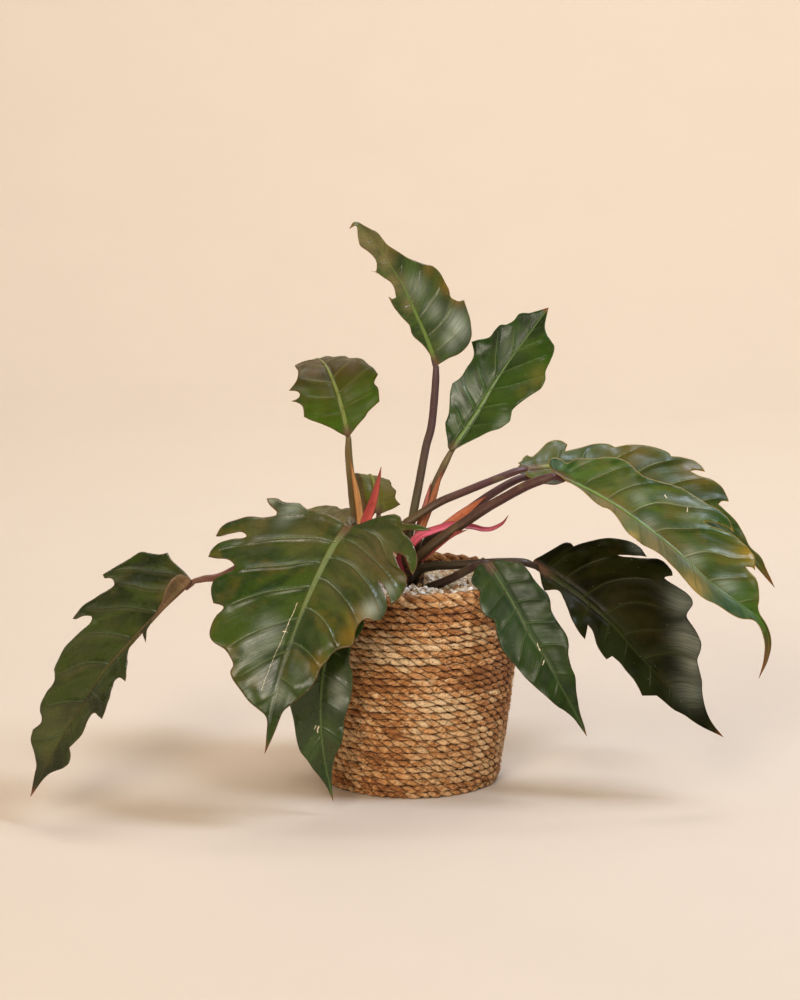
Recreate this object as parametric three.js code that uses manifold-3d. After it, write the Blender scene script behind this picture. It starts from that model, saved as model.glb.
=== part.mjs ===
// A potted philodendron with lobed leaves in a coiled rope basket. Millimetres, +Z up.
// The origin is the centre of the basket's underside and the front faces -Y.
import * as THREE from 'three';
import Module from 'manifold-3d';

const wasm = await Module();
wasm.setup();

// Driving sizes
const GAP = 0.3; // clearance between neighbouring parts
const BASKET_HEIGHT = 200;
const ROPE_ROWS = 30;
const ROPE_GROOVE = 1.4; // depth of the groove between two rows
const WALL = 5.5; // rope thickness
const FLOOR = 6; // basket floor thickness
const BASKET_RADIUS = [[0, 82], [4, 84.5], [10, 86.5], [30, 89], [60, 94], [100, 99], [150, 102], [200, 102]];
const POT = { bottomRadius: 76.5, topRadius: 95.9, top: 184, wall: 1.6 };
const SOIL_TOP = 182;
const DRESSING_TOP = 187; // granules stand a few mm above this
const SEGMENTS = 36; // round the basket, pot, soil and granules, so their flats lie face to face
const BLADE_THICKNESS = 0.9;
const RIB_THICKNESS = 2.2;
const CROWNS = {
  crown_left: { at: [-47, -9], profile: [[150, 6], [170, 8], [186, 12], [200, 13.5], [212, 10], [221, 4.5]] },
  crown_right: { at: [1, -9], profile: [[150, 6], [170, 8], [186, 10.5], [200, 11.5], [214, 9.5], [226, 4.5]] },
};

// Petioles: the line each follows and its radius at the crown and at the blade
const PETIOLES = {
  far_left: { path: [[-50, -10, 196], [-66, -20, 222], [-100, -42, 238], [-140, -55, 228], [-176, -66, 211],
    [-192, -71, 209], [-203, -75, 208]], radius: [4.6, 3.2] },
  front_left: { path: [[-48, -12, 198], [-50, -32, 232], [-54, -62, 258], [-57, -82, 266], [-58, -94, 264.5]],
    radius: [5, 3.6] },
  front_small: { path: [[-48, -14, 192], [-46, -36, 207], [-48, -62, 217], [-53, -86, 216], [-60, -102, 204],
    [-61.3, -105.5, 197]], radius: [3.8, 2.8] },
  upright_left: { path: [[-47, -8, 200], [-51, -3, 222], [-52, 2, 249], [-55, -2, 270], [-57, -6, 292],
    [-59, -7, 315], [-59, -8, 331]], radius: [5, 3.4] },
  tall: { path: [[0, -9, 202], [-3, -8, 228], [1, -8, 253], [7, -6, 284], [14, -5, 322], [19, -4, 341],
    [22, -2, 369], [24, 0, 398]], radius: [4.2, 3.6] },
  upright_right: { path: [[3, -8, 204], [5, -8, 225], [10, -8, 247], [18, -7, 271], [23, -6, 287], [30, -5, 302],
    [37, -5, 317]], radius: [4.2, 3.4] },
  arch_front: { path: [[1, -12, 198], [7, -20, 218], [32, -22, 240], [50, -24, 253], [68, -27, 266],
    [84, -30, 276], [107, -36, 290], [125, -40, 298], [134, -41.7, 302]], radius: [5.2, 4.4] },
  arch_back: { path: [[-4, -10, 202], [-11, -16, 230], [-6, -20, 250], [2, -20, 256], [26, -17, 271],
    [50, -10, 280], [84, 0, 292], [103, 7, 298], [110, 9.6, 299]], radius: [4.2, 3.6] },
  arch_rear: { path: [[4, -5, 204], [13, 3, 226], [26, 6, 239], [39, 9, 247], [75, 21, 271], [104, 33, 285],
    [121, 40, 285]], radius: [4.8, 3.6] },
  low_right: { path: [[-1, -14, 188], [7, -26, 207], [23, -32, 213], [38, -38, 215], [62, -45, 218],
    [83, -48, 220], [104, -48, 220], [118, -45, 215.5]], radius: [4.6, 3.6] },
  front_right: { path: [[3, -14, 184], [14, -28, 190], [31, -38, 199], [44, -50, 208], [58, -62, 218],
    [70, -69.4, 224]], radius: [4.6, 3.6] },
  back: { path: [[-44, -6, 200], [-38, 12, 222], [-33, 26, 238], [-31, 31.5, 249]], radius: [4, 3] },
  back_left: { path: [[-49, -5, 200], [-54, 6, 222], [-58, 14, 235], [-61.3, 18.8, 239.4]], radius: [3.6, 2.8] },
};

// Leaves: the midrib's line, the way the upper face looks from base to tip, the angle and bend
// (degrees, and degrees in 50 mm) of the two halves, and the margin of the flat leaf as
// [distance from the midrib, distance from the base], with a third 1 where it turns sharply.
const LEAVES = {
  far_left: {
    rib: [[-204, -75, 208], [-233, -98, 184], [-259, -115, 159], [-283, -130, 134], [-303, -148, 105],
      [-324, -160, 72], [-348, -170, 26]],
    face: [[-0.35, -0.6, 0.7], [-0.45, -0.65, 0.6], [-0.45, -0.75, 0.45], [-0.4, -0.8, 0.4]],
    fold: { right: [0, 0, 0, 0], left: [95, 85, 35, 15, 20, 24, 22, 20, 16] },
    bend: { right: [-3, -3, -5, -6], left: [-6, -6, -8, -8, -8, -8, -8] },
    right: [[0, 0], [17, -5], [36, -9], [50, -15, 1], [56, -10], [67, -6], [76, -3], [80, 8, 1], [85, 17],
      [93, 36, 1], [87, 39], [77, 37], [67, 43], [69, 52], [75, 64], [79, 78], [76, 96, 1], [70, 94], [66, 86],
      [60, 83], [55, 88], [54, 96], [58, 112], [57, 124], [52, 137, 1], [50, 138], [44, 147], [44, 163],
      [42, 175], [37, 183], [32, 187], [29, 193], [32, 201, 1], [28, 210], [21, 217], [11, 226], [6, 238],
      [0, 255, 1]],
    left: [[0, 0], [8, 3], [17, 10], [23, 22, 1], [20, 34], [12, 44], [8, 52], [14, 62], [26, 80, 1], [15, 75],
      [6, 72], [6, 88], [12, 97], [24, 108], [37, 124, 1], [32, 122], [23, 121], [24, 130], [31, 142], [37, 154],
      [40, 164, 1], [33, 163], [24, 162], [23, 170], [27, 182], [19, 198, 1], [26, 203], [29, 210], [23, 217, 1],
      [12, 225], [5, 235], [0, 255, 1]],
  },
  front_left: {
    rib: [[-58, -95, 264], [-74, -108, 243], [-96, -140, 202], [-114, -165, 156], [-126, -180, 114],
      [-133, -188, 71]],
    face: [[-0.15, -0.7, 0.7], [-0.1, -0.9, 0.42], [-0.1, -0.95, 0.3]],
    fold: { right: [6, 6, 6], left: [12, 12, 8] },
    bend: { right: [-8, -8, -6], left: [-8, -8, -6] },
    right: [[0, 0], [15, 0], [26, 1], [36, 4], [44, 7], [54, 5, 1], [61, 10], [69, 12], [77, 12], [85, 15, 1],
      [80, 17], [68, 19, 1], [66, 21], [75, 25], [90, 28], [102, 33], [109, 40], [109, 50, 1], [104, 49],
      [96, 44], [88, 40], [81, 42], [83, 45], [92, 49], [102, 56], [106, 64], [105, 72, 1], [97, 72], [85, 70],
      [77, 74], [76, 79], [83, 86], [88, 91], [89, 98], [86, 106], [81, 113, 1], [73, 113], [70, 115],
      [74, 123], [75, 133], [73, 142], [67, 147], [56, 150], [49, 155], [44, 161], [45, 167], [41, 173],
      [32, 180], [22, 188], [12, 193], [5, 197], [2, 203], [1, 214], [0, 232, 1]],
    left: [[0, 0], [11, -7], [18, -15], [26, -23], [35, -29, 1], [41, -29], [47, -25], [53, -27], [63, -30],
      [76, -31, 1], [67, -25], [57, -21], [52, -17], [64, -13], [74, -7], [82, 1], [86, 6], [87, 12, 1], [77, 6],
      [68, 3], [58, 4, 1], [66, 8], [75, 16], [80, 28], [83, 41], [82, 56], [77, 68, 1], [73, 60], [65, 51],
      [57, 46, 1], [63, 53], [71, 62], [75, 72], [74, 83, 1], [68, 86], [60, 86], [56, 92], [55, 101],
      [57, 111], [55, 117], [49, 120], [42, 126], [39, 135], [35, 144], [34, 154], [30, 166], [23, 175],
      [15, 185, 1], [11, 191], [9, 199], [6, 212], [0, 232, 1]],
  },
  front_small: {
    rib: [[-61, -105, 196], [-75, -120, 162], [-83, -128, 117], [-82, -133, 66], [-72, -139, 12]],
    face: [[-0.1, -0.8, 0.55], [-0.1, -0.97, 0.2], [-0.1, -0.98, 0.15]],
    fold: { right: [8, 8, 8], left: [8, 8, 8] },
    bend: { right: [-10, -10, -10], left: [-10, -10, -10] },
    right: [[0, 0], [10, -4], [22, 2], [32, 14], [36, 30], [34, 48], [36, 64], [34, 84], [28, 103, 1],
      [25, 115], [24, 124], [23, 134], [21, 142], [16, 150], [12, 159], [8, 166], [3, 178], [0, 192, 1]],
    left: [[0, 0], [10, -4], [20, 4], [26, 18], [24, 32], [22, 42], [23, 57], [27, 65], [29, 76], [29, 84],
      [28, 94], [25, 106], [22, 117], [21, 129], [17, 140], [10, 151], [5, 164], [2, 177], [0, 192, 1]],
  },
  upright_left: {
    rib: [[-59, -8, 332], [-66, -2, 362], [-73, 10, 381], [-82, 32, 396], [-92, 70, 396], [-100, 110, 378]],
    face: [[0.1, -0.97, 0.2], [0, -0.8, 0.6], [-0.1, -0.2, 1], [-0.2, 0.3, 1]],
    fold: { right: [10, 15, 3, -4, -5], left: [10, 17, 9, -5, -15] },
    bend: { right: [-8, -15, -15, -15, -10], left: [-8, -15, -20, -25, -15] },
    right: [[0, 0], [6, 5], [12, 10], [19, 15], [23, 19], [28, 22], [36, 26, 1], [37, 31], [38, 37], [36, 42],
      [42, 48, 1], [40, 56], [37, 62], [35, 72], [32, 86], [28, 102], [22, 120], [14, 136], [6, 152],
      [0, 168, 1]],
    left: [[0, 0], [7, 5], [15, 12], [22, 17], [27, 20], [32, 23], [38, 28, 1], [37, 33], [37, 38], [40, 42],
      [46, 45, 1], [40, 46], [36, 49], [37, 54], [44, 58, 1], [38, 63], [32, 69], [28, 79], [27, 92],
      [24, 108], [19, 124], [12, 139], [6, 152], [0, 168, 1]],
  },
  tall: {
    rib: [[24, 0, 399], [14, -4, 427], [5, -8, 448], [-8, -14, 477], [-23, -20, 502], [-41, -26, 526],
      [-51, -30, 536], [-58, -33, 531]],
    face: [[0.3, -0.93, 0.2], [0.3, -0.9, 0.3], [0.3, -0.8, 0.5]],
    fold: { right: [10, 10, 10], left: [10, 10, 10] },
    bend: { right: [-10, -10, -10], left: [-10, -10, -10] },
    right: [[0, 0], [13, 2], [25, 2], [35, 6], [40, 11], [43, 16], [46, 27], [47, 36], [48, 44, 1], [42, 46],
      [37, 53], [38, 61], [38, 70], [38, 78], [35, 85], [29, 90], [22, 98], [17, 105], [13, 115], [9, 126],
      [9, 139], [6, 147], [3, 155], [2, 162], [0, 170, 1]],
    left: [[0, 0], [2, 8], [3, 14], [5, 21], [8, 28], [12, 36], [13, 42, 1], [12, 49], [15, 58], [18, 68],
      [20, 78], [20, 86, 1], [17, 81], [12, 80, 1], [10, 88], [10, 95], [14, 104], [18, 113], [23, 119, 1],
      [18, 115], [14, 118], [11, 123], [12, 133], [15, 144], [12, 150], [8, 155], [3, 160], [0, 170, 1]],
  },
  upright_right: {
    rib: [[37, -5, 318], [50, 0, 336], [63, 5, 355], [80, 12, 383], [101, 20, 412], [130, 30, 450]],
    face: [[-0.35, -0.9, 0.25], [-0.35, -0.88, 0.3], [-0.3, -0.85, 0.4]],
    fold: { right: [10, 10, 10], left: [10, 10, 10] },
    bend: { right: [-8, -8, -8], left: [-8, -8, -8] },
    right: [[0, 0], [3, 4], [8, 13], [16, 25], [23, 35], [30, 42], [33, 47], [35, 52], [33, 57], [31, 62],
      [33, 68], [38, 81], [42, 90], [45, 97], [44, 105], [40, 111], [38, 116], [35, 128], [31, 137], [25, 140],
      [17, 143], [11, 147], [7, 152, 1], [4, 158], [0, 166, 1]],
    left: [[0, 0], [4, 2], [9, 8], [15, 14], [20, 20, 1], [22, 29], [27, 38], [32, 48], [35, 58, 1], [31, 67],
      [31, 76], [31, 86], [34, 92], [41, 98, 1], [37, 103], [30, 111], [29, 119], [28, 126], [23, 130],
      [20, 137], [20, 144], [17, 148], [12, 151], [7, 157], [0, 166, 1]],
  },
  arch_front: {
    rib: [[135, -42, 303], [170, -54, 288], [202, -66, 270], [242, -80, 241], [279, -93, 208],
      [307, -101, 189], [323, -105, 176], [330, -107, 159], [328, -109, 140], [321, -111, 122]],
    face: [[-0.1, -0.6, 0.8], [-0.1, -0.7, 0.7], [0, -0.75, 0.65], [0, -0.75, 0.65], [0.1, -0.8, 0.55],
      [0.5, -0.85, 0.1], [0.6, -0.8, 0]],
    fold: { right: [15, 15, 12, 10], left: [5, 5, 5, 5] },
    bend: { right: [-8, -8, -8, -8], left: [-8, -8, -8, -8] },
    right: [[0, 0], [2, 12], [4, 26, 1], [6, 33], [10, 44], [11, 55], [9, 62], [11, 71], [17, 83], [20, 92],
      [21, 104], [19, 114], [17, 127], [17, 144], [18, 157], [20, 174], [19, 185], [16, 193], [15, 205],
      [13, 219], [6, 230], [5, 239], [6, 251], [5, 265], [3, 279], [0, 294, 1]],
    left: [[0, 0], [2, -5], [6, -10], [11, -12], [16, -10], [18, -3], [17, 4], [25, 9], [30, 17], [35, 27],
      [41, 35], [44, 44], [44, 53], [42, 61], [40, 69, 1], [43, 77], [47, 87], [52, 98], [55, 109], [56, 120],
      [57, 129], [60, 136], [60, 145], [57, 154], [53, 161, 1], [52, 151], [47, 142], [40, 135, 1], [42, 143],
      [47, 152], [51, 165], [51, 176], [51, 188], [49, 196], [44, 201], [36, 206, 1], [37, 202], [34, 196, 1],
      [32, 203], [29, 211], [22, 218], [14, 224], [8, 227], [4, 232], [3, 240], [3, 262], [2, 276],
      [0, 294, 1]],
  },
  arch_back: {
    rib: [[111, 10, 299], [142, 20, 300], [181, 28, 294], [224, 30, 282], [268, 30, 262], [306, 25, 234],
      [331, 15, 207], [349, 10, 182]],
    face: [[-0.1, -0.7, 0.75], [0, -0.75, 0.65], [0.1, -0.75, 0.65], [0.3, -0.75, 0.6]],
    fold: { right: [0, 0, 0], left: [8, 8, 8] },
    bend: { right: [-8, -8, -8], left: [-8, -8, -8] },
    right: [[0, 0], [6, -4], [13, 0], [16, 12], [15, 26], [20, 42], [24, 60], [26, 80], [24, 96], [27, 112],
      [26, 130], [22, 146], [23, 162], [18, 180], [15, 200], [9, 220], [5, 240], [3, 262], [0, 282, 1]],
    left: [[0, 0], [3, -4], [7, -8, 1], [10, -3], [13, -1], [16, 4, 1], [13, 8], [16, 14], [21, 20], [27, 27], [29, 37],
      [25, 43, 1], [17, 40, 1], [20, 48], [23, 56], [27, 64], [29, 71], [30, 78], [28, 84, 1], [33, 94],
      [37, 106], [39, 118], [39, 130], [36, 134, 1], [41, 146], [43, 154], [41, 161], [37, 165, 1], [34, 158],
      [30, 154, 1], [30, 163], [33, 174], [32, 184], [27, 192], [24, 195, 1], [20, 190], [15, 189, 1],
      [14, 200], [13, 212], [9, 224], [5, 236], [7, 250], [4, 262], [2, 273], [0, 282, 1]],
  },
  arch_rear: {
    rib: [[122, 40, 285], [150, 58, 290], [182, 82, 283], [212, 108, 262], [238, 132, 234], [256, 150, 202]],
    face: [[0, -0.2, 1], [0.2, 0, 1], [0.5, 0.3, 0.8]],
    fold: { right: [10, 8, 5], left: [10, 8, 5] },
    bend: { right: [-10, -10, -10], left: [-10, -10, -10] },
    right: [[0, 0], [8, -7], [18, -10], [27, -4], [32, 8, 1], [27, 20], [33, 34], [35, 52, 1], [29, 62],
      [33, 78], [32, 94, 1], [25, 104], [28, 118], [24, 134, 1], [17, 142], [17, 154], [10, 172], [4, 188],
      [0, 202, 1]],
    left: [[0, 0], [8, -7], [18, -10], [27, -4], [33, 9, 1], [27, 22], [34, 38], [34, 56, 1], [28, 66],
      [32, 82], [31, 98, 1], [24, 108], [26, 122], [23, 138, 1], [16, 146], [16, 158], [9, 175], [4, 189],
      [0, 202, 1]],
  },
  low_right: {
    rib: [[119, -45, 215], [139, -55, 203], [162, -65, 188], [187, -75, 167], [212, -82, 139],
      [228, -87, 123], [261, -95, 86], [291, -100, 64]],
    face: [[-0.1, -0.75, 0.65], [-0.1, -0.8, 0.6], [-0.1, -0.85, 0.5], [0, -0.9, 0.4]],
    fold: { right: [8, 8, 8, 8], left: [8, 8, 8, 8] },
    bend: { right: [-8, -8, -8, -8], left: [-8, -8, -8, -8] },
    right: [[0, 0], [5, 6], [12, 13], [17, 20, 1], [9, 30], [13, 39], [19, 49], [25, 60], [29, 72],
      [30, 82, 1], [24, 78], [18, 74, 1], [19, 81], [25, 93], [27, 101], [27, 111, 1], [21, 112, 1], [19, 121],
      [20, 130], [21, 140], [23, 150], [25, 158, 1], [14, 167, 1], [12, 176], [10, 187], [6, 198], [4, 214],
      [0, 238, 1]],
    left: [[0, 0], [2, -7], [11, -4], [24, 1], [34, 6], [37, 11], [36, 15, 1], [44, 20], [53, 27], [60, 34],
      [66, 41], [70, 47], [73, 53], [74, 61], [71, 70, 1], [68, 66], [64, 62], [59, 56], [54, 51, 1], [56, 55],
      [61, 61], [66, 67], [72, 73], [76, 77], [78, 83], [77, 91], [74, 94, 1], [67, 91], [67, 95], [70, 103],
      [73, 112], [73, 120], [70, 126], [65, 128], [59, 131], [56, 139], [54, 148], [50, 157], [44, 162],
      [37, 166], [33, 173], [28, 184], [22, 192], [15, 203], [9, 213], [4, 224], [0, 238, 1]],
  },
  front_right: {
    rib: [[71, -70, 224], [85, -80, 204], [100, -90, 180], [111, -98, 160], [125, -105, 140],
      [137, -111, 118], [152, -116, 91], [162, -120, 71]],
    face: [[-0.2, -0.8, 0.55], [-0.1, -0.9, 0.4], [-0.1, -0.95, 0.3]],
    fold: { right: [8, 8, 8], left: [8, 8, 8] },
    bend: { right: [-8, -8, -8], left: [-8, -8, -8] },
    right: [[0, 0], [9, -3], [16, 1], [22, 6], [23, 12], [21, 19], [26, 27], [29, 36], [28, 44], [24, 51],
      [26, 59], [29, 71], [30, 80], [28, 92], [26, 110], [22, 123], [17, 135], [12, 149], [8, 156], [4, 166],
      [2, 176], [0, 187, 1]],
    left: [[0, 0], [5, 1], [10, 3], [14, 7], [20, 13], [26, 18], [28, 29], [28, 36], [30, 47], [32, 53],
      [31, 60], [28, 67], [28, 78], [28, 97], [25, 105], [20, 112], [17, 123], [16, 133], [11, 144], [8, 152],
      [4, 164], [2, 177], [0, 187, 1]],
  },
  back: {
    rib: [[-31, 32, 250], [-34, 43, 272], [-38, 58, 284], [-42, 80, 278], [-44, 104, 256], [-45, 124, 225]],
    face: [[0.05, -0.95, 0.3], [0.05, -0.55, 0.85], [0, 0, 1], [-0.1, 0.4, 0.9], [-0.1, 0.7, 0.7]],
    fold: { right: [12, -18, -22, -15], left: [12, 8, -4, -10] },
    bend: { right: [-14, -20, -14, -10], left: [-15, -20, -20, -10] },
    right: [[0, 0], [7, 2], [14, 4], [22, 8, 1], [18, 15], [20, 23], [17, 29], [18, 40], [22, 54], [25, 70],
      [24, 88], [19, 106], [11, 122], [4, 136], [0, 145, 1]],
    left: [[0, 0], [4, 3], [9, 8], [12, 16], [12, 26], [12, 40], [15, 58], [17, 76], [17, 92], [14, 108],
      [9, 124], [4, 137], [0, 145, 1]],
  },
  back_left: {
    rib: [[-62, 20, 240], [-84, 58, 241], [-103, 88, 238], [-121, 118, 229], [-136, 146, 210],
      [-147, 170, 184]],
    face: [[0.2, -0.3, 0.93], [0.1, -0.3, 0.95], [-0.2, 0, 1], [-0.4, 0.4, 0.8]],
    fold: { right: [14, 10, 8, 8], left: [10, 10, 8, 8] },
    bend: { right: [-8, -8, -8, -8], left: [-8, -8, -8, -8] },
    right: [[0, 0], [8, -6], [18, -8], [28, -2], [33, 10, 1], [29, 24], [33, 42, 1], [30, 60], [32, 78],
      [27, 98], [23, 118], [16, 140], [8, 162], [0, 186, 1]],
    left: [[0, 0], [8, -6], [16, -4], [22, 6], [25, 20, 1], [22, 36], [26, 52], [23, 72], [25, 90], [20, 108],
      [17, 128], [11, 148], [5, 168], [0, 186, 1]],
  },
};

// Sheaths and the red leaf scales at the crowns, made the same way as leaves but narrow and folded.
// `fold` is one angle for both halves; `half` is the half width along the length.
const SHEATHS = {
  scale_spike: { rib: [[-49, -14, 204], [-47, -18, 230], [-43, -18, 254], [-36, -18, 274], [-31, -18, 293],
    [-28, -18, 306]], face: [0.2, -1, 0.1], fold: 38, half: [5, 6.5, 6.5, 5.5, 3.5, 0.5] },
  sheath_upright_left: { rib: [[-46.6, -7, 236], [-47.4, -8, 256], [-50, -11, 276], [-54, -12, 296],
    [-57.8, -11.6, 314]], face: [0.6, -1, 0], fold: -30, half: [4, 4.5, 4, 2.5, 0.5] },
  sheath_upright_right: { rib: [[6, -14.2, 232], [13, -13.6, 252], [20, -12.7, 270], [25.5, -11.3, 288],
    [31.5, -10.4, 304]], face: [0.3, -1, 0], fold: -30, half: [4, 4.5, 4, 3, 0.5] },
  sheath_upright_right_low: { rib: [[3, -12.5, 236], [6.5, -12, 250], [11.5, -11, 266], [15.5, -10.3, 279],
    [19, -9.6, 291]], face: [-0.8, -0.8, 0.1], fold: -30, half: [3.5, 4, 3.5, 2.5, 0.5] },
  sheath_arch_rear: { rib: [[28, 0.6, 242], [40, 3.4, 250], [52, 7.3, 258], [63, 11, 265.5], [73, 14.6, 272]],
    face: [0.1, -1, 0.2], fold: -30, half: [3.5, 4.5, 4.5, 3, 0.5] },
  scale_curled: { rib: [[-1, -17.5, 213], [-1, -18.5, 227], [8, -17.5, 238.5], [20, -14, 243], [32, -9, 246], [40, -5, 247],
    [58, -3, 245], [68, 0, 242], [77, 2, 242], [87, 4, 247], [93, 6, 255]], face: [-0.2, -1, 0.4], fold: 35,
    half: [4, 5, 5, 4.5, 4, 4, 3.5, 3, 2.5, 1.8, 0.5] },
  scale_under_arch: { rib: [[10, -24.6, 215.7], [20, -25.4, 224.5], [30, -26, 233.4], [40, -27, 241],
    [54, -27.6, 247]], face: [0.3, -0.9, -0.5], fold: -30, half: [3, 3.5, 3.5, 3, 0.5] },
  scale_crown: { rib: [[-8, -20.5, 193], [-11, -20, 203], [-13, -21, 214], [-9, -24, 226]], face: [-0.4, -1, 0.2],
    fold: -30, half: [6, 6, 4.5, 0.5] },
};

const v = (a) => new THREE.Vector3(a[0], a[1], a[2]);

// A smooth curve through the points, `n` equal steps of its parameter.
function smooth(points, n) {
  const first = points[0].map((c, i) => 2 * c - points[1][i]);
  const last = points.at(-1).map((c, i) => 2 * c - points.at(-2)[i]);
  const all = [first, ...points, last];
  const spans = points.length - 1;
  const out = [];
  for (let k = 0; k <= n; k++) {
    const u = (k / n) * spans;
    const i = Math.min(Math.floor(u), spans - 1);
    const t = u - i;
    const [a, b, c, d] = all.slice(i, i + 4);
    out.push(b.map((_, j) => 0.5 * (2 * b[j] + (c[j] - a[j]) * t
      + (2 * a[j] - 5 * b[j] + 4 * c[j] - d[j]) * t * t + (3 * b[j] - a[j] - 3 * c[j] + d[j]) * t ** 3)));
  }
  return out;
}

// A value from an evenly spaced list at u between 0 and 1.
function along(list, u) {
  const k = Math.min(Math.max(u, 0), 1) * (list.length - 1);
  const i = Math.min(Math.floor(k), list.length - 2);
  const f = k - i;
  if (Array.isArray(list[0])) return list[i].map((c, j) => c * (1 - f) + list[i + 1][j] * f);
  return list[i] * (1 - f) + list[i + 1] * f;
}

function radiusAt(z) {
  for (let i = 1; i < BASKET_RADIUS.length; i++) {
    const [z0, r0] = BASKET_RADIUS[i - 1];
    const [z1, r1] = BASKET_RADIUS[i];
    if (z <= z1) return r0 + ((r1 - r0) * (z - z0)) / (z1 - z0);
  }
  return BASKET_RADIUS.at(-1)[1];
}

// The surface a flat leaf is laid on: a point, a tangent, a normal and a side direction by length.
function leafFrame(spec) {
  const n = 60;
  const pts = smooth(spec.rib, n).map(v);
  const s = [0];
  for (let i = 1; i <= n; i++) s.push(s[i - 1] + pts[i].distanceTo(pts[i - 1]));
  const length = s[n];
  const rows = pts.map((p, i) => {
    const t = pts[Math.min(i + 1, n)].clone().sub(pts[Math.max(i - 1, 0)]).normalize();
    const face = v(along(spec.face, s[i] / length));
    const normal = face.addScaledVector(t, -face.dot(t)).normalize();
    return { p, t, normal, side: t.clone().cross(normal) };
  });
  return { spec, s, rows, length };
}

function leafPoint(frame, x, y, lift = 0) {
  const { spec, s, rows, length } = frame;
  const yc = Math.min(Math.max(y, 0), length);
  let i = 0;
  while (i < s.length - 2 && s[i + 1] < yc) i++;
  const f = (yc - s[i]) / (s[i + 1] - s[i]);
  const mix = (key) => rows[i][key].clone().lerp(rows[i + 1][key], f);
  const half = x >= 0 ? 'right' : 'left';
  const rad = Math.PI / 180;
  const fold = along(spec.fold[half], yc / length) * rad;
  let bend = (along(spec.bend[half], yc / length) * rad) / 50;
  if (Math.abs(bend) < 1e-5) bend = 1e-5;
  const ax = Math.abs(x);
  const across = (Math.sin(fold + bend * ax) - Math.sin(fold)) / bend;
  const up = (Math.cos(fold) - Math.cos(fold + bend * ax)) / bend;
  return mix('p').addScaledVector(mix('t'), y - yc)
    .addScaledVector(mix('side'), Math.sign(x) * across).addScaledVector(mix('normal'), up + lift);
}

// A margin list made smooth between its sharp points.
function margin(points, longest) {
  const out = [];
  let start = 0;
  for (let i = 1; i < points.length; i++) {
    if (points[i][2] !== 1 && i < points.length - 1) continue;
    const run = points.slice(start, i + 1).map(([x, y]) => [x, y]);
    if (run.length < 3) out.push(...run.slice(0, -1));
    else {
      const fine = smooth(run, (run.length - 1) * 2);
      for (let k = 0; k < fine.length - 1; k++) {
        const whole = k % 2 === 0;
        const gap = whole ? 0 : Math.hypot(fine[k + 1][0] - fine[k - 1][0], fine[k + 1][1] - fine[k - 1][1]);
        if (whole || gap > longest) out.push(fine[k]);
      }
    }
    start = i;
  }
  out.push(points.at(-1).slice(0, 2));
  return out.map(([x, y]) => [Math.max(x, 0), y]);
}

const cross2 = (a, b, c) => (b[0] - a[0]) * (c[1] - a[1]) - (b[1] - a[1]) * (c[0] - a[0]);

// Triangles over a flat contour with extra points inside, with edges flipped to good shapes.
function fill(contour, inside) {
  // a hair of sideways shift keeps points on a straight stretch from being dropped
  const flat = contour.map(([x, y], i) => new THREE.Vector2(x + 0.002 * Math.sin(i * 2.4), y));
  const points = [...contour, ...inside];
  let tris = THREE.ShapeUtils.triangulateShape(flat, []).map((t) => [...t]);
  const area = tris.reduce((sum, t) => sum + cross2(points[t[0]], points[t[1]], points[t[2]]), 0);
  if (area < 0) tris = tris.map((t) => [t[0], t[2], t[1]]);
  inside.forEach((p, k) => {
    const id = contour.length + k;
    const hit = tris.findIndex((t) => [0, 1, 2].every(
      (e) => cross2(points[t[e]], points[t[(e + 1) % 3]], p) > 1e-9));
    if (hit < 0) return;
    const [a, b, c] = tris[hit];
    tris.splice(hit, 1, [a, b, id], [b, c, id], [c, a, id]);
  });
  const rim = new Set(contour.map((_, i) => [i, (i + 1) % contour.length].sort((a, b) => a - b).join()));
  for (let pass = 0; pass < 40; pass++) {
    const seen = new Map();
    let flipped = 0;
    for (let ti = 0; ti < tris.length; ti++) {
      for (let e = 0; e < 3; e++) {
        const key = [tris[ti][e], tris[ti][(e + 1) % 3]].sort((a, b) => a - b).join();
        if (rim.has(key)) continue;
        if (!seen.has(key)) {
          seen.set(key, ti);
          continue;
        }
        const tj = seen.get(key);
        const [i, j] = key.split(',').map(Number);
        const p = tris[ti].find((q) => q !== i && q !== j);
        const q = tris[tj].find((w) => w !== i && w !== j);
        if (!tris[ti].includes(i) || !tris[ti].includes(j) || !tris[tj].includes(i) || !tris[tj].includes(j)) continue;
        if (p === undefined || q === undefined || p === q) continue;
        const angle = (apex) => {
          const u1 = [points[i][0] - points[apex][0], points[i][1] - points[apex][1]];
          const u2 = [points[j][0] - points[apex][0], points[j][1] - points[apex][1]];
          return Math.abs(Math.atan2(u1[0] * u2[1] - u1[1] * u2[0], u1[0] * u2[0] + u1[1] * u2[1]));
        };
        if (angle(p) + angle(q) <= Math.PI + 1e-6) continue;
        if (cross2(points[p], points[q], points[i]) * cross2(points[p], points[q], points[j]) >= 0) continue;
        const make = (a, b, c) => (cross2(points[a], points[b], points[c]) < 0 ? [a, c, b] : [a, b, c]);
        tris[ti] = make(p, q, i);
        tris[tj] = make(p, q, j);
        seen.delete(key);
        flipped++;
        break;
      }
    }
    if (!flipped) break;
  }
  return { points, tris };
}

function distanceToContour(p, contour) {
  let best = Infinity;
  contour.forEach((a, i) => {
    const b = contour[(i + 1) % contour.length];
    const dx = b[0] - a[0];
    const dy = b[1] - a[1];
    const t = Math.min(1, Math.max(0, ((p[0] - a[0]) * dx + (p[1] - a[1]) * dy) / (dx * dx + dy * dy || 1)));
    best = Math.min(best, Math.hypot(p[0] - a[0] - t * dx, p[1] - a[1] - t * dy));
  });
  return best;
}

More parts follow.
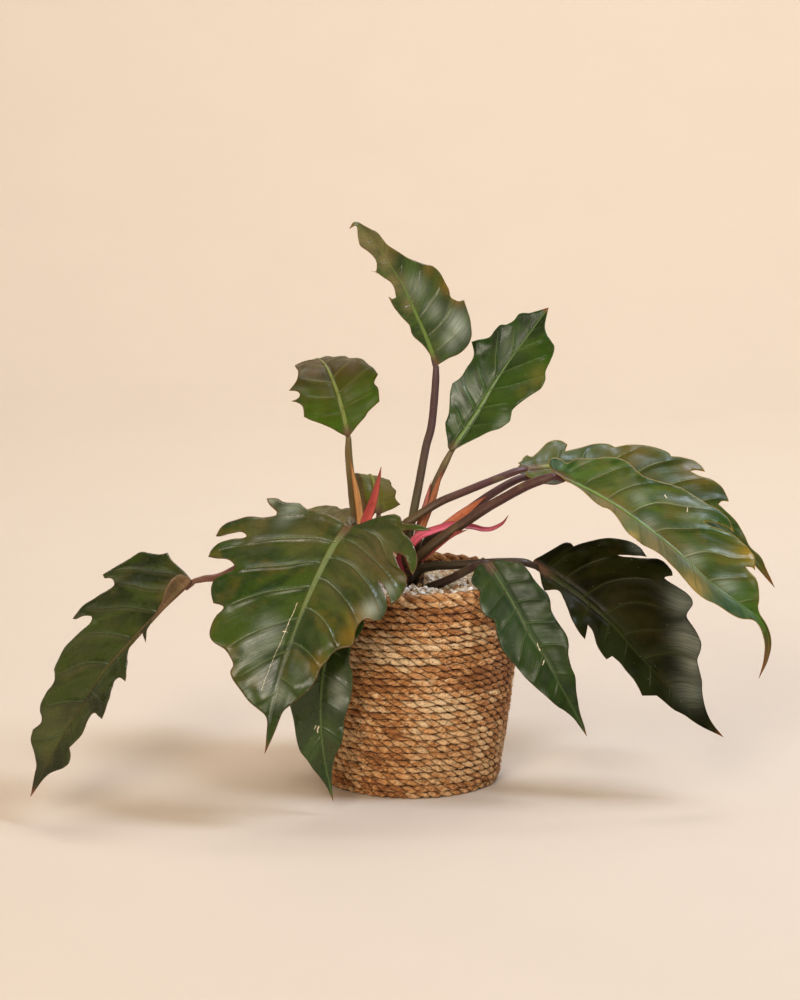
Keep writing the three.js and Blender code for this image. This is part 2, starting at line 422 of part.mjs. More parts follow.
function insideOf(p, contour) {
  let odd = false;
  contour.forEach((a, i) => {
    const b = contour[(i + 1) % contour.length];
    if ((a[1] > p[1]) !== (b[1] > p[1]) && p[0] < ((b[0] - a[0]) * (p[1] - a[1])) / (b[1] - a[1]) + a[0]) odd = !odd;
  });
  return odd;
}

// A closed leaf blade: the same triangles on both faces, with a thicker midrib.
function blade(spec, options = {}) {
  const { ribSteps = 11, cell = 18, longest = 11, thin = BLADE_THICKNESS, thick = RIB_THICKNESS, grow = 0 } = options;
  const frame = leafFrame(spec);
  const L = spec.right.at(-1)[1];
  const positions = [];
  const faces = [];
  const top = new Map();
  const low = new Map();
  const put = (x, y, lift) => positions.push(leafPoint(frame, x, y, lift)) - 1;
  const vertex = (map, x, y, lift) => {
    const key = `${x.toFixed(4)},${y.toFixed(4)}`;
    if (!map.has(key)) map.set(key, put(x, y, lift));
    return map.get(key);
  };
  const ribs = Array.from({ length: ribSteps + 1 }, (_, i) => (i / ribSteps) * L);
  for (const [half, sign] of [['right', 1], ['left', -1]]) {
    const edge = margin(spec[half], longest);
    // the midrib bulges a little in the flat pattern only, so it isn't one straight line there
    const contour = [...ribs.map((y) => [-2 * (y / L) * (1 - y / L), y]), ...edge.slice(1, -1).reverse()];
    const inside = [];
    let row = 0;
    for (let y = -30; y < L; y += cell * 0.87, row++) {
      for (let x = cell * (row % 2 ? 0.5 : 0.85); x < 120; x += cell) {
        if (insideOf([x, y], contour) && distanceToContour([x, y], contour) > cell * 0.33) inside.push([x, y]);
      }
    }
    const { points, tris } = fill(contour, inside);
    const thickness = ([x, y]) => (x < 1e-6 ? thin + (thick - thin) * Math.max(0, 1 - y / L) : thin);
    const at = (i, map, down) => {
      const [x, y] = points[i];
      const lift = down ? -thickness(points[i]) - grow : grow;
      return vertex(map, x < 1e-6 ? 0 : sign * x, y, lift);
    };
    for (const t of tris) {
      const a = t.map((i) => at(i, top, false));
      const b = t.map((i) => at(i, low, true));
      if (sign > 0) {
        faces.push([a[0], a[1], a[2]], [b[0], b[2], b[1]]);
      } else {
        faces.push([a[0], a[2], a[1]], [b[0], b[1], b[2]]);
      }
    }
    for (let k = ribSteps; k < contour.length; k++) {
      const n = (k + 1) % contour.length;
      const [a, b] = [at(k, top, false), at(n, top, false)];
      const [c, d] = [at(k, low, true), at(n, low, true)];
      if (sign > 0) faces.push([a, b, d], [a, d, c]);
      else faces.push([a, d, b], [a, c, d]);
    }
  }
  return { positions, faces };
}

// A closed round stem along a path, its radius going evenly from the first to the last value.
function stem(path, radii, { sides = 8, rings = 10, grow = 0 } = {}) {
  const pts = smooth(path, rings).map(v);
  const positions = [];
  const faces = [];
  pts.forEach((p, i) => {
    const t = pts[Math.min(i + 1, rings)].clone().sub(pts[Math.max(i - 1, 0)]).normalize();
    const u = new THREE.Vector3(0, -1, 0.35).cross(t).normalize();
    const w = t.clone().cross(u);
    const r = along(radii, i / rings) + grow;
    const centre = p.clone();
    if (i === 0) centre.addScaledVector(t, -grow);
    if (i === rings) centre.addScaledVector(t, grow);
    for (let k = 0; k < sides; k++) {
      const a = (k / sides) * 2 * Math.PI;
      positions.push(centre.clone().addScaledVector(u, r * Math.cos(a)).addScaledVector(w, r * Math.sin(a)));
    }
    if (i === 0) return;
    for (let k = 0; k < sides; k++) {
      const n = (k + 1) % sides;
      const [a, b, c, d] = [(i - 1) * sides + k, (i - 1) * sides + n, i * sides + k, i * sides + n];
      faces.push([a, b, d], [a, d, c]);
    }
  });
  for (let k = 1; k < sides - 1; k++) {
    faces.push([0, k + 1, k]);
    faces.push([rings * sides, rings * sides + k, rings * sides + k + 1]);
  }
  return { positions, faces };
}

// A turned body. The profile runs from the axis at the bottom, round the outside, to the axis again.
function turned(profile, segments, centre = [0, 0]) {
  const positions = [];
  const ids = profile.map(([r, z]) => {
    if (r < 1e-6) return [positions.push(new THREE.Vector3(centre[0], centre[1], z)) - 1];
    return Array.from({ length: segments }, (_, k) => {
      const a = (k / segments) * 2 * Math.PI;
      return positions.push(new THREE.Vector3(centre[0] + r * Math.cos(a), centre[1] + r * Math.sin(a), z)) - 1;
    });
  });
  const faces = [];
  for (let i = 1; i < ids.length; i++) {
    const [lo, hi] = [ids[i - 1], ids[i]];
    for (let k = 0; k < segments; k++) {
      const n = (k + 1) % segments;
      if (lo.length > 1 && hi.length > 1) faces.push([lo[k], lo[n], hi[n]], [lo[k], hi[n], hi[k]]);
      else if (lo.length > 1) faces.push([lo[k], lo[n], hi[0]]);
      else if (hi.length > 1) faces.push([lo[0], hi[n], hi[k]]);
    }
  }
  return { positions, faces };
}

function toSolid({ positions, faces }) {
  return new wasm.Manifold(new wasm.Mesh({
    numProp: 3,
    vertProperties: Float32Array.from(positions.flatMap((p) => [p.x, p.y, p.z])),
    triVerts: Uint32Array.from(faces.flat()),
  }));
}

// The largest closed piece of a solid as plain arrays, with near-equal points joined.
function fromSolid(solid) {
  const mesh = solid.getMesh();
  const positions = [];
  const index = new Map();
  const id = [];
  for (let i = 0; i < mesh.vertProperties.length; i += mesh.numProp) {
    const p = [0, 1, 2].map((k) => Math.round(mesh.vertProperties[i + k] * 100) / 100);
    const key = p.join();
    if (!index.has(key)) index.set(key, positions.push(v(p)) - 1);
    id.push(index.get(key));
  }
  const faces = [];
  for (let i = 0; i < mesh.triVerts.length; i += 3) {
    const t = [0, 1, 2].map((k) => id[mesh.triVerts[i + k]]);
    if (new Set(t).size === 3) faces.push(t);
  }
  const parent = positions.map((_, i) => i);
  const root = (i) => {
    while (parent[i] !== i) i = parent[i] = parent[parent[i]];
    return i;
  };
  faces.forEach(([a, b, c]) => {
    parent[root(a)] = root(b);
    parent[root(b)] = root(c);
  });
  const size = new Map();
  faces.forEach(([a, b, c]) => {
    const six = positions[a].dot(positions[b].clone().cross(positions[c]));
    size.set(root(a), (size.get(root(a)) ?? 0) + six);
  });
  const biggest = [...size].sort((a, b) => b[1] - a[1])[0][0];
  const kept = faces.filter(([a]) => root(a) === biggest);
  return { positions, faces: kept };
}

const object = new THREE.Group();
object.name = 'potted_philodendron';

function add(name, body, colour, roughness) {
  const used = new Map();
  const coords = [];
  const index = body.faces.flat().map((i) => {
    if (!used.has(i)) {
      used.set(i, used.size);
      coords.push(...body.positions[i].toArray());
    }
    return used.get(i);
  });
  const geometry = new THREE.BufferGeometry();
  geometry.setAttribute('position', new THREE.Float32BufferAttribute(coords, 3));
  geometry.setIndex(index);
  geometry.computeVertexNormals();
  const mesh = new THREE.Mesh(geometry, new THREE.MeshStandardMaterial({ color: colour, roughness }));
  mesh.name = name;
  object.add(mesh);
}

function boxesMeet(a, b) {
  const [p, q] = [a.boundingBox(), b.boundingBox()];
  return [0, 1, 2].every((k) => p.min[k] <= q.max[k] && q.min[k] <= p.max[k]);
}

// Cuts away whatever would overlap a solid, with its clearance already added to the cutter.
function clear(solid, cutters) {
  return cutters.reduce((s, c) => (boxesMeet(s, c) ? s.subtract(c) : s), solid);
}

// Basket: rows of rope from the floor to the rim
const pitch = BASKET_HEIGHT / ROPE_ROWS;
const basketProfile = [[0, 0], [BASKET_RADIUS[0][1] - 2.5, 0]];
for (let row = 0; row < ROPE_ROWS; row++) {
  const z = (row + 0.5) * pitch;
  if (row > 0) basketProfile.push([radiusAt(row * pitch) - ROPE_GROOVE, row * pitch]);
  basketProfile.push([radiusAt(z), z]);
}
basketProfile.push([radiusAt(BASKET_HEIGHT) - 1.8, BASKET_HEIGHT], [radiusAt(BASKET_HEIGHT) - WALL + 1, BASKET_HEIGHT]);
for (const z of [196, 150, 100, 60, 30, FLOOR + 4]) basketProfile.push([radiusAt(z) - WALL, z]);
basketProfile.push([radiusAt(4) - WALL - 1.5, FLOOR], [0, FLOOR]);
add('basket', turned(basketProfile, SEGMENTS), 0xb98552, 0.85);

// Nursery pot inside the basket, its soil and the layer of pale granules
const potAt = (z) => POT.bottomRadius + ((POT.topRadius - POT.bottomRadius) * (z - FLOOR)) / (POT.top - FLOOR);
const potFloor = FLOOR + GAP;
const potWall = (z) => Math.min(potAt(z), radiusAt(z) - WALL - GAP);
const potRows = [30, 60, 100, 150];
add('nursery_pot', turned([[0, potFloor], [potWall(potFloor), potFloor],
  ...potRows.map((z) => [potWall(z), z]), [POT.topRadius, POT.top], [POT.topRadius - POT.wall, POT.top],
  ...[...potRows].reverse().map((z) => [potWall(z) - POT.wall, z]),
  [potWall(potFloor) - POT.wall, potFloor + POT.wall], [0, potFloor + POT.wall]], SEGMENTS), 0x33302c, 0.6);

const crowns = Object.fromEntries(Object.entries(CROWNS).map(([name, { at, profile }]) => {
  const shape = (grow) => turned([[0, profile[0][0] - grow], ...profile.map(([z, r], i) =>
    [r + grow, z + (i === 0 ? -grow : i === profile.length - 1 ? grow : 0)]), [0, profile.at(-1)[0] + 2 + grow]],
  14, at);
  return [name, { body: shape(0), cutter: toSolid(shape(GAP)) }];
}));
const crownCutters = Object.values(crowns).map((c) => c.cutter);

// Stems: each is cut clear of the crowns and of the stems before it
const ORDER = ['tall', 'upright_right', 'arch_front', 'arch_back', 'arch_rear', 'low_right', 'front_right',
  'upright_left', 'front_left', 'far_left', 'front_small', 'back', 'back_left'];
const petioles = {};
const stemCutters = [];
for (const name of ORDER) {
  const { path, radius } = PETIOLES[name];
  const solid = clear(toSolid(stem(path, radius)), [...crownCutters, ...stemCutters]);
  petioles[name] = fromSolid(solid);
  stemCutters.push(toSolid(stem(path, radius, { grow: GAP })));
}

const innerWall = (z) => potWall(z) - POT.wall - GAP;
const soilFloor = potFloor + POT.wall + GAP;
const soilSolid = toSolid(turned([[0, soilFloor], [innerWall(soilFloor), soilFloor],
  ...potRows.map((z) => [innerWall(z), z]), [innerWall(SOIL_TOP), SOIL_TOP], [0, SOIL_TOP]],
  SEGMENTS));
add('soil', fromSolid(clear(soilSolid, [...crownCutters, ...stemCutters])), 0x3a2a1e, 0.95);

// The granule layer is one body with a lumpy top; it stands on the soil and covers the pot's edge.
function dressing() {
  const low = SOIL_TOP + GAP;
  const edge = radiusAt(190) - WALL - GAP;
  const inner = innerWall(SOIL_TOP);
  const lump = (i, k) => {
    const wave = Math.sin(i * 12.9898 + k * 78.233) * 43758.5453;
    return wave - Math.floor(wave);
  };
  const profile = [[0, low], [inner, low], [inner, POT.top + GAP], [edge, POT.top + GAP], [edge, DRESSING_TOP],
    [88, DRESSING_TOP], [79, DRESSING_TOP], [70, DRESSING_TOP], [61, DRESSING_TOP], [52, DRESSING_TOP],
    [42, DRESSING_TOP], [31, DRESSING_TOP], [18, DRESSING_TOP], [0, DRESSING_TOP]];
  const body = turned(profile, SEGMENTS);
  let at = 0;
  profile.forEach(([r], i) => {
    const count = r < 1e-6 ? 1 : SEGMENTS;
    for (let k = 0; k < count; k++, at++) {
      if (i < 4) continue;
      body.positions[at].z += (i === 4 ? 1.5 : 4.5) * lump(i, k) - (i === 4 ? 0 : 0.5);
    }
  });
  return body;
}
add('top_dressing', fromSolid(clear(toSolid(dressing()), [...crownCutters, ...stemCutters])), 0xe4d8c2, 0.9);

for (const [name, { body }] of Object.entries(crowns)) add(name, body, 0x6b4630, 0.7);
for (const name of ORDER) add(`petiole_${name}`, petioles[name], 0x4f3a30, 0.45);

// Sheaths and scales
function sheath({ rib, face, fold, half }, grow) {
  const { length } = leafFrame({ rib, face: [face, face] });
  const edge = half.map((w, i) => [w + grow, (i / (half.length - 1)) * length]);
  const side = [[0, 0], [edge[0][0], 0.5], ...edge.slice(1, -1), [0, length, 1]];
  const spec = { rib, face: [face, face], fold: { right: [fold, fold], left: [fold, fold] },
    bend: { right: [0, 0], left: [0, 0] }, right: side, left: side };
  return toSolid(blade(spec, { ribSteps: 6, cell: 40, longest: 14, thin: 1, thick: 1.3, grow }));
}
const sheathCutters = [];
for (const [name, shape] of Object.entries(SHEATHS)) {
  const solid = clear(sheath(shape, 0), [...crownCutters, ...stemCutters, ...sheathCutters]);
  add(name, fromSolid(solid), 0xb4503c, 0.5);
  sheathCutters.push(sheath(shape, GAP));
}

// Blades
for (const [name, spec] of Object.entries(LEAVES)) {
  const solid = clear(toSolid(blade(spec)), [...stemCutters, ...crownCutters]);
  add(`leaf_${name}`, fromSolid(solid), 0x35502e, 0.35);
}

export default object;
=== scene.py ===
"""A potted philodendron with lobed leaves in a coiled rope basket.

Shapes are given in millimetres, in the frame of the CAD model, and made in metres.
"""
import math

import bpy
import numpy as np
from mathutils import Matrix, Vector
from mathutils.geometry import delaunay_2d_cdt


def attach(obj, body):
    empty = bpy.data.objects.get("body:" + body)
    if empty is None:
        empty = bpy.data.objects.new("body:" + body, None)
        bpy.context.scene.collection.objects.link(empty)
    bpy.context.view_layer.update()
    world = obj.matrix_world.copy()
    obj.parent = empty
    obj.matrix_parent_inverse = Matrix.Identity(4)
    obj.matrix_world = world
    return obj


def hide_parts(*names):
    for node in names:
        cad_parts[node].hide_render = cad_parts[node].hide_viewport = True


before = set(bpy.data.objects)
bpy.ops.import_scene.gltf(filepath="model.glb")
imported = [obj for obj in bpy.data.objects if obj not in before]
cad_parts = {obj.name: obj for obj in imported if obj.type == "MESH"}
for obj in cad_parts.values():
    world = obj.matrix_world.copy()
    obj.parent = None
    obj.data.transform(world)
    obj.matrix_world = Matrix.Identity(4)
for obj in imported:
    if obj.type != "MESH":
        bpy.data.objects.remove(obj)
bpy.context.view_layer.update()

MM = 0.001

# Sizes shared with the CAD source
BASKET_HEIGHT = 200
ROPE_ROWS = 30
BASKET_RADIUS = [[0, 82], [4, 84.5], [10, 86.5], [30, 89], [60, 94], [100, 99], [150, 102], [200, 102]]
DRESSING_TOP = 187

# Stem bases: where each stands, and its radius at each height
CROWNS = {
    "crown_left": {
        "at": [-47, -9], "profile": [[150, 6], [170, 8], [186, 12], [200, 13.5], [212, 10], [221, 4.5]],
    },
    "crown_right": {
        "at": [1, -9], "profile": [[150, 6], [170, 8], [186, 10.5], [200, 11.5], [214, 9.5], [226, 4.5]],
    },
}

# Stalks: the middle line, and the radius at the foot and at the tip
PETIOLES = {
    "far_left": {
        "path": [[-50, -10, 196], [-66, -20, 222], [-100, -42, 238], [-140, -55, 228], [-176, -66, 211],
            [-192, -71, 209], [-203, -75, 208]],
        "radius": [4.6, 3.2],
    },
    "front_left": {
        "path": [[-48, -12, 198], [-50, -32, 232], [-54, -62, 258], [-57, -82, 266], [-58, -94, 264.5]],
        "radius": [5, 3.6],
    },
    "front_small": {
        "path": [[-48, -14, 192], [-46, -36, 207], [-48, -62, 217], [-53, -86, 216], [-60, -102, 204],
            [-61.3, -105.5, 197]],
        "radius": [3.8, 2.8],
    },
    "upright_left": {
        "path": [[-47, -8, 200], [-51, -3, 222], [-52, 2, 249], [-55, -2, 270], [-57, -6, 292],
            [-59, -7, 315], [-59, -8, 331]],
        "radius": [5, 3.4],
    },
    "tall": {
        "path": [[0, -9, 202], [-3, -8, 228], [1, -8, 253], [7, -6, 284], [14, -5, 322], [19, -4, 341],
            [22, -2, 369], [24, 0, 398]],
        "radius": [4.2, 3.6],
    },
    "upright_right": {
        "path": [[3, -8, 204], [5, -8, 225], [10, -8, 247], [18, -7, 271], [23, -6, 287], [30, -5, 302],
            [37, -5, 317]],
        "radius": [4.2, 3.4],
    },
    "arch_front": {
        "path": [[1, -12, 198], [7, -20, 218], [32, -22, 240], [50, -24, 253], [68, -27, 266],
            [84, -30, 276], [107, -36, 290], [125, -40, 298], [134, -41.7, 302]],
        "radius": [5.2, 4.4],
    },
    "arch_back": {
        "path": [[-4, -10, 202], [-11, -16, 230], [-6, -20, 250], [2, -20, 256], [26, -17, 271],
            [50, -10, 280], [84, 0, 292], [103, 7, 298], [110, 9.6, 299]],
        "radius": [4.2, 3.6],
    },
    "arch_rear": {
        "path": [[4, -5, 204], [13, 3, 226], [26, 6, 239], [39, 9, 247], [75, 21, 271], [104, 33, 285],
            [121, 40, 285]],
        "radius": [4.8, 3.6],
    },
    "low_right": {
        "path": [[-1, -14, 188], [7, -26, 207], [23, -32, 213], [38, -38, 215], [62, -45, 218],
            [83, -48, 220], [104, -48, 220], [118, -45, 215.5]],
        "radius": [4.6, 3.6],
    },
    "front_right": {
        "path": [[3, -14, 184], [14, -28, 190], [31, -38, 199], [44, -50, 208], [58, -62, 218],
            [70, -69.4, 224]],
        "radius": [4.6, 3.6],
    },
    "back": {
        "path": [[-44, -6, 200], [-38, 12, 222], [-33, 26, 238], [-31, 31.5, 249]],
        "radius": [4, 3],
    },
    "back_left": {
        "path": [[-49, -5, 200], [-54, 6, 222], [-58, 14, 235], [-61.3, 18.8, 239.4]],
        "radius": [3.6, 2.8],
    },
}

# Leaves: the midrib's line in space, the way the upper face looks along it, how far each half
# folds up at the midrib (degrees) and bends on outwards (degrees over 50 mm), and the margins of
# the flat leaf as [across, along], with a third number at sharp points.
LEAVES = {
    "far_left": {
        "rib": [[-204, -75, 208], [-233, -98, 184], [-259, -115, 159], [-283, -130, 134],
            [-303, -148, 105], [-324, -160, 72], [-348, -170, 26]],
        "face": [[-0.35, -0.6, 0.7], [-0.45, -0.65, 0.6], [-0.45, -0.75, 0.45], [-0.4, -0.8, 0.4]],
        "fold": {"right": [0, 0, 0, 0], "left": [95, 85, 35, 15, 20, 24, 22, 20, 16]},
        "bend": {"right": [-3, -3, -5, -6], "left": [-6, -6, -8, -8, -8, -8, -8]},
        "right": [[0, 0], [17, -5], [36, -9], [50, -15, 1], [56, -10], [67, -6], [76, -3], [80, 8, 1],
            [85, 17], [93, 36, 1], [87, 39], [77, 37], [67, 43], [69, 52], [75, 64], [79, 78],
            [76, 96, 1], [70, 94], [66, 86], [60, 83], [55, 88], [54, 96], [58, 112], [57, 124],
            [52, 137, 1], [50, 138], [44, 147], [44, 163], [42, 175], [37, 183], [32, 187], [29, 193],
            [32, 201, 1], [28, 210], [21, 217], [11, 226], [6, 238], [0, 255, 1]],
        "left": [[0, 0], [8, 3], [17, 10], [23, 22, 1], [20, 34], [12, 44], [8, 52], [14, 62],
            [26, 80, 1], [15, 75], [6, 72], [6, 88], [12, 97], [24, 108], [37, 124, 1], [32, 122],
            [23, 121], [24, 130], [31, 142], [37, 154], [40, 164, 1], [33, 163], [24, 162], [23, 170],
            [27, 182], [19, 198, 1], [26, 203], [29, 210], [23, 217, 1], [12, 225], [5, 235],
            [0, 255, 1]],
    },
    "front_left": {
        "rib": [[-58, -95, 264], [-74, -108, 243], [-96, -140, 202], [-114, -165, 156], [-126, -180, 114],
            [-133, -188, 71]],
        "face": [[-0.15, -0.7, 0.7], [-0.1, -0.9, 0.42], [-0.1, -0.95, 0.3]],
        "fold": {"right": [6, 6, 6], "left": [12, 12, 8]},
        "bend": {"right": [-8, -8, -6], "left": [-8, -8, -6]},
        "right": [[0, 0], [15, 0], [26, 1], [36, 4], [44, 7], [54, 5, 1], [61, 10], [69, 12], [77, 12],
            [85, 15, 1], [80, 17], [68, 19, 1], [66, 21], [75, 25], [90, 28], [102, 33], [109, 40],
            [109, 50, 1], [104, 49], [96, 44], [88, 40], [81, 42], [83, 45], [92, 49], [102, 56],
            [106, 64], [105, 72, 1], [97, 72], [85, 70], [77, 74], [76, 79], [83, 86], [88, 91], [89, 98],
            [86, 106], [81, 113, 1], [73, 113], [70, 115], [74, 123], [75, 133], [73, 142], [67, 147],
            [56, 150], [49, 155], [44, 161], [45, 167], [41, 173], [32, 180], [22, 188], [12, 193],
            [5, 197], [2, 203], [1, 214], [0, 232, 1]],
        "left": [[0, 0], [11, -7], [18, -15], [26, -23], [35, -29, 1], [41, -29], [47, -25], [53, -27],
            [63, -30], [76, -31, 1], [67, -25], [57, -21], [52, -17], [64, -13], [74, -7], [82, 1],
            [86, 6], [87, 12, 1], [77, 6], [68, 3], [58, 4, 1], [66, 8], [75, 16], [80, 28], [83, 41],
            [82, 56], [77, 68, 1], [73, 60], [65, 51], [57, 46, 1], [63, 53], [71, 62], [75, 72],
            [74, 83, 1], [68, 86], [60, 86], [56, 92], [55, 101], [57, 111], [55, 117], [49, 120],
            [42, 126], [39, 135], [35, 144], [34, 154], [30, 166], [23, 175], [15, 185, 1], [11, 191],
            [9, 199], [6, 212], [0, 232, 1]],
    },
    "front_small": {
        "rib": [[-61, -105, 196], [-75, -120, 162], [-83, -128, 117], [-82, -133, 66], [-72, -139, 12]],
        "face": [[-0.1, -0.8, 0.55], [-0.1, -0.97, 0.2], [-0.1, -0.98, 0.15]],
        "fold": {"right": [8, 8, 8], "left": [8, 8, 8]},
        "bend": {"right": [-10, -10, -10], "left": [-10, -10, -10]},
        "right": [[0, 0], [10, -4], [22, 2], [32, 14], [36, 30], [34, 48], [36, 64], [34, 84],
            [28, 103, 1], [25, 115], [24, 124], [23, 134], [21, 142], [16, 150], [12, 159], [8, 166],
            [3, 178], [0, 192, 1]],
        "left": [[0, 0], [10, -4], [20, 4], [26, 18], [24, 32], [22, 42], [23, 57], [27, 65], [29, 76],
            [29, 84], [28, 94], [25, 106], [22, 117], [21, 129], [17, 140], [10, 151], [5, 164], [2, 177],
            [0, 192, 1]],
    },
    "upright_left": {
        "rib": [[-59, -8, 332], [-66, -2, 362], [-73, 10, 381], [-82, 32, 396], [-92, 70, 396],
            [-100, 110, 378]],
        "face": [[0.1, -0.97, 0.2], [0, -0.8, 0.6], [-0.1, -0.2, 1], [-0.2, 0.3, 1]],
        "fold": {"right": [10, 15, 3, -4, -5], "left": [10, 17, 9, -5, -15]},
        "bend": {"right": [-8, -15, -15, -15, -10], "left": [-8, -15, -20, -25, -15]},
        "right": [[0, 0], [6, 5], [12, 10], [19, 15], [23, 19], [28, 22], [36, 26, 1], [37, 31], [38, 37],
            [36, 42], [42, 48, 1], [40, 56], [37, 62], [35, 72], [32, 86], [28, 102], [22, 120],
            [14, 136], [6, 152], [0, 168, 1]],
        "left": [[0, 0], [7, 5], [15, 12], [22, 17], [27, 20], [32, 23], [38, 28, 1], [37, 33], [37, 38],
            [40, 42], [46, 45, 1], [40, 46], [36, 49], [37, 54], [44, 58, 1], [38, 63], [32, 69],
            [28, 79], [27, 92], [24, 108], [19, 124], [12, 139], [6, 152], [0, 168, 1]],
    },
    "tall": {
        "rib": [[24, 0, 399], [14, -4, 427], [5, -8, 448], [-8, -14, 477], [-23, -20, 502],
            [-41, -26, 526], [-51, -30, 536], [-58, -33, 531]],
        "face": [[0.3, -0.93, 0.2], [0.3, -0.9, 0.3], [0.3, -0.8, 0.5]],
        "fold": {"right": [10, 10, 10], "left": [10, 10, 10]},
        "bend": {"right": [-10, -10, -10], "left": [-10, -10, -10]},
        "right": [[0, 0], [13, 2], [25, 2], [35, 6], [40, 11], [43, 16], [46, 27], [47, 36], [48, 44, 1],
            [42, 46], [37, 53], [38, 61], [38, 70], [38, 78], [35, 85], [29, 90], [22, 98], [17, 105],
            [13, 115], [9, 126], [9, 139], [6, 147], [3, 155], [2, 162], [0, 170, 1]],
        "left": [[0, 0], [2, 8], [3, 14], [5, 21], [8, 28], [12, 36], [13, 42, 1], [12, 49], [15, 58],
            [18, 68], [20, 78], [20, 86, 1], [17, 81], [12, 80, 1], [10, 88], [10, 95], [14, 104],
            [18, 113], [23, 119, 1], [18, 115], [14, 118], [11, 123], [12, 133], [15, 144], [12, 150],
            [8, 155], [3, 160], [0, 170, 1]],
    },
    "upright_right": {
        "rib": [[37, -5, 318], [50, 0, 336], [63, 5, 355], [80, 12, 383], [101, 20, 412], [130, 30, 450]],
        "face": [[-0.35, -0.9, 0.25], [-0.35, -0.88, 0.3], [-0.3, -0.85, 0.4]],
        "fold": {"right": [10, 10, 10], "left": [10, 10, 10]},
        "bend": {"right": [-8, -8, -8], "left": [-8, -8, -8]},
        "right": [[0, 0], [3, 4], [8, 13], [16, 25], [23, 35], [30, 42], [33, 47], [35, 52], [33, 57],
            [31, 62], [33, 68], [38, 81], [42, 90], [45, 97], [44, 105], [40, 111], [38, 116], [35, 128],
            [31, 137], [25, 140], [17, 143], [11, 147], [7, 152, 1], [4, 158], [0, 166, 1]],
        "left": [[0, 0], [4, 2], [9, 8], [15, 14], [20, 20, 1], [22, 29], [27, 38], [32, 48], [35, 58, 1],
            [31, 67], [31, 76], [31, 86], [34, 92], [41, 98, 1], [37, 103], [30, 111], [29, 119],
            [28, 126], [23, 130], [20, 137], [20, 144], [17, 148], [12, 151], [7, 157], [0, 166, 1]],
    },
    "arch_front": {
        "rib": [[135, -42, 303], [170, -54, 288], [202, -66, 270], [242, -80, 241], [279, -93, 208],
            [307, -101, 189], [323, -105, 176], [330, -107, 159], [328, -109, 140], [321, -111, 122]],
        "face": [[-0.1, -0.6, 0.8], [-0.1, -0.7, 0.7], [0, -0.75, 0.65], [0, -0.75, 0.65],
            [0.1, -0.8, 0.55], [0.5, -0.85, 0.1], [0.6, -0.8, 0]],
        "fold": {"right": [15, 15, 12, 10], "left": [5, 5, 5, 5]},
        "bend": {"right": [-8, -8, -8, -8], "left": [-8, -8, -8, -8]},
        "right": [[0, 0], [2, 12], [4, 26, 1], [6, 33], [10, 44], [11, 55], [9, 62], [11, 71], [17, 83],
            [20, 92], [21, 104], [19, 114], [17, 127], [17, 144], [18, 157], [20, 174], [19, 185],
            [16, 193], [15, 205], [13, 219], [6, 230], [5, 239], [6, 251], [5, 265], [3, 279],
            [0, 294, 1]],
        "left": [[0, 0], [2, -5], [6, -10], [11, -12], [16, -10], [18, -3], [17, 4], [25, 9], [30, 17],
            [35, 27], [41, 35], [44, 44], [44, 53], [42, 61], [40, 69, 1], [43, 77], [47, 87], [52, 98],
            [55, 109], [56, 120], [57, 129], [60, 136], [60, 145], [57, 154], [53, 161, 1], [52, 151],
            [47, 142], [40, 135, 1], [42, 143], [47, 152], [51, 165], [51, 176], [51, 188], [49, 196],
            [44, 201], [36, 206, 1], [37, 202], [34, 196, 1], [32, 203], [29, 211], [22, 218], [14, 224],
            [8, 227], [4, 232], [3, 240], [3, 262], [2, 276], [0, 294, 1]],
    },
    "arch_back": {
        "rib": [[111, 10, 299], [142, 20, 300], [181, 28, 294], [224, 30, 282], [268, 30, 262],
            [306, 25, 234], [331, 15, 207], [349, 10, 182]],
        "face": [[-0.1, -0.7, 0.75], [0, -0.75, 0.65], [0.1, -0.75, 0.65], [0.3, -0.75, 0.6]],
        "fold": {"right": [0, 0, 0], "left": [8, 8, 8]},
        "bend": {"right": [-8, -8, -8], "left": [-8, -8, -8]},
        "right": [[0, 0], [6, -4], [13, 0], [16, 12], [15, 26], [20, 42], [24, 60], [26, 80], [24, 96],
            [27, 112], [26, 130], [22, 146], [23, 162], [18, 180], [15, 200], [9, 220], [5, 240],
            [3, 262], [0, 282, 1]],
        "left": [[0, 0], [3, -4], [7, -8, 1], [10, -3], [13, -1], [16, 4, 1], [13, 8], [16, 14], [21, 20],
            [27, 27], [29, 37], [25, 43, 1], [17, 40, 1], [20, 48], [23, 56], [27, 64], [29, 71],
            [30, 78], [28, 84, 1], [33, 94], [37, 106], [39, 118], [39, 130], [36, 134, 1], [41, 146],
            [43, 154], [41, 161], [37, 165, 1], [34, 158], [30, 154, 1], [30, 163], [33, 174], [32, 184],
            [27, 192], [24, 195, 1], [20, 190], [15, 189, 1], [14, 200], [13, 212], [9, 224], [5, 236],
            [7, 250], [4, 262], [2, 273], [0, 282, 1]],
    },
    "arch_rear": {
        "rib": [[122, 40, 285], [150, 58, 290], [182, 82, 283], [212, 108, 262], [238, 132, 234],
            [256, 150, 202]],
        "face": [[0, -0.2, 1], [0.2, 0, 1], [0.5, 0.3, 0.8]],
        "fold": {"right": [10, 8, 5], "left": [10, 8, 5]},
        "bend": {"right": [-10, -10, -10], "left": [-10, -10, -10]},
        "right": [[0, 0], [8, -7], [18, -10], [27, -4], [32, 8, 1], [27, 20], [33, 34], [35, 52, 1],
            [29, 62], [33, 78], [32, 94, 1], [25, 104], [28, 118], [24, 134, 1], [17, 142], [17, 154],
            [10, 172], [4, 188], [0, 202, 1]],
        "left": [[0, 0], [8, -7], [18, -10], [27, -4], [33, 9, 1], [27, 22], [34, 38], [34, 56, 1],
            [28, 66], [32, 82], [31, 98, 1], [24, 108], [26, 122], [23, 138, 1], [16, 146], [16, 158],
            [9, 175], [4, 189], [0, 202, 1]],
    },
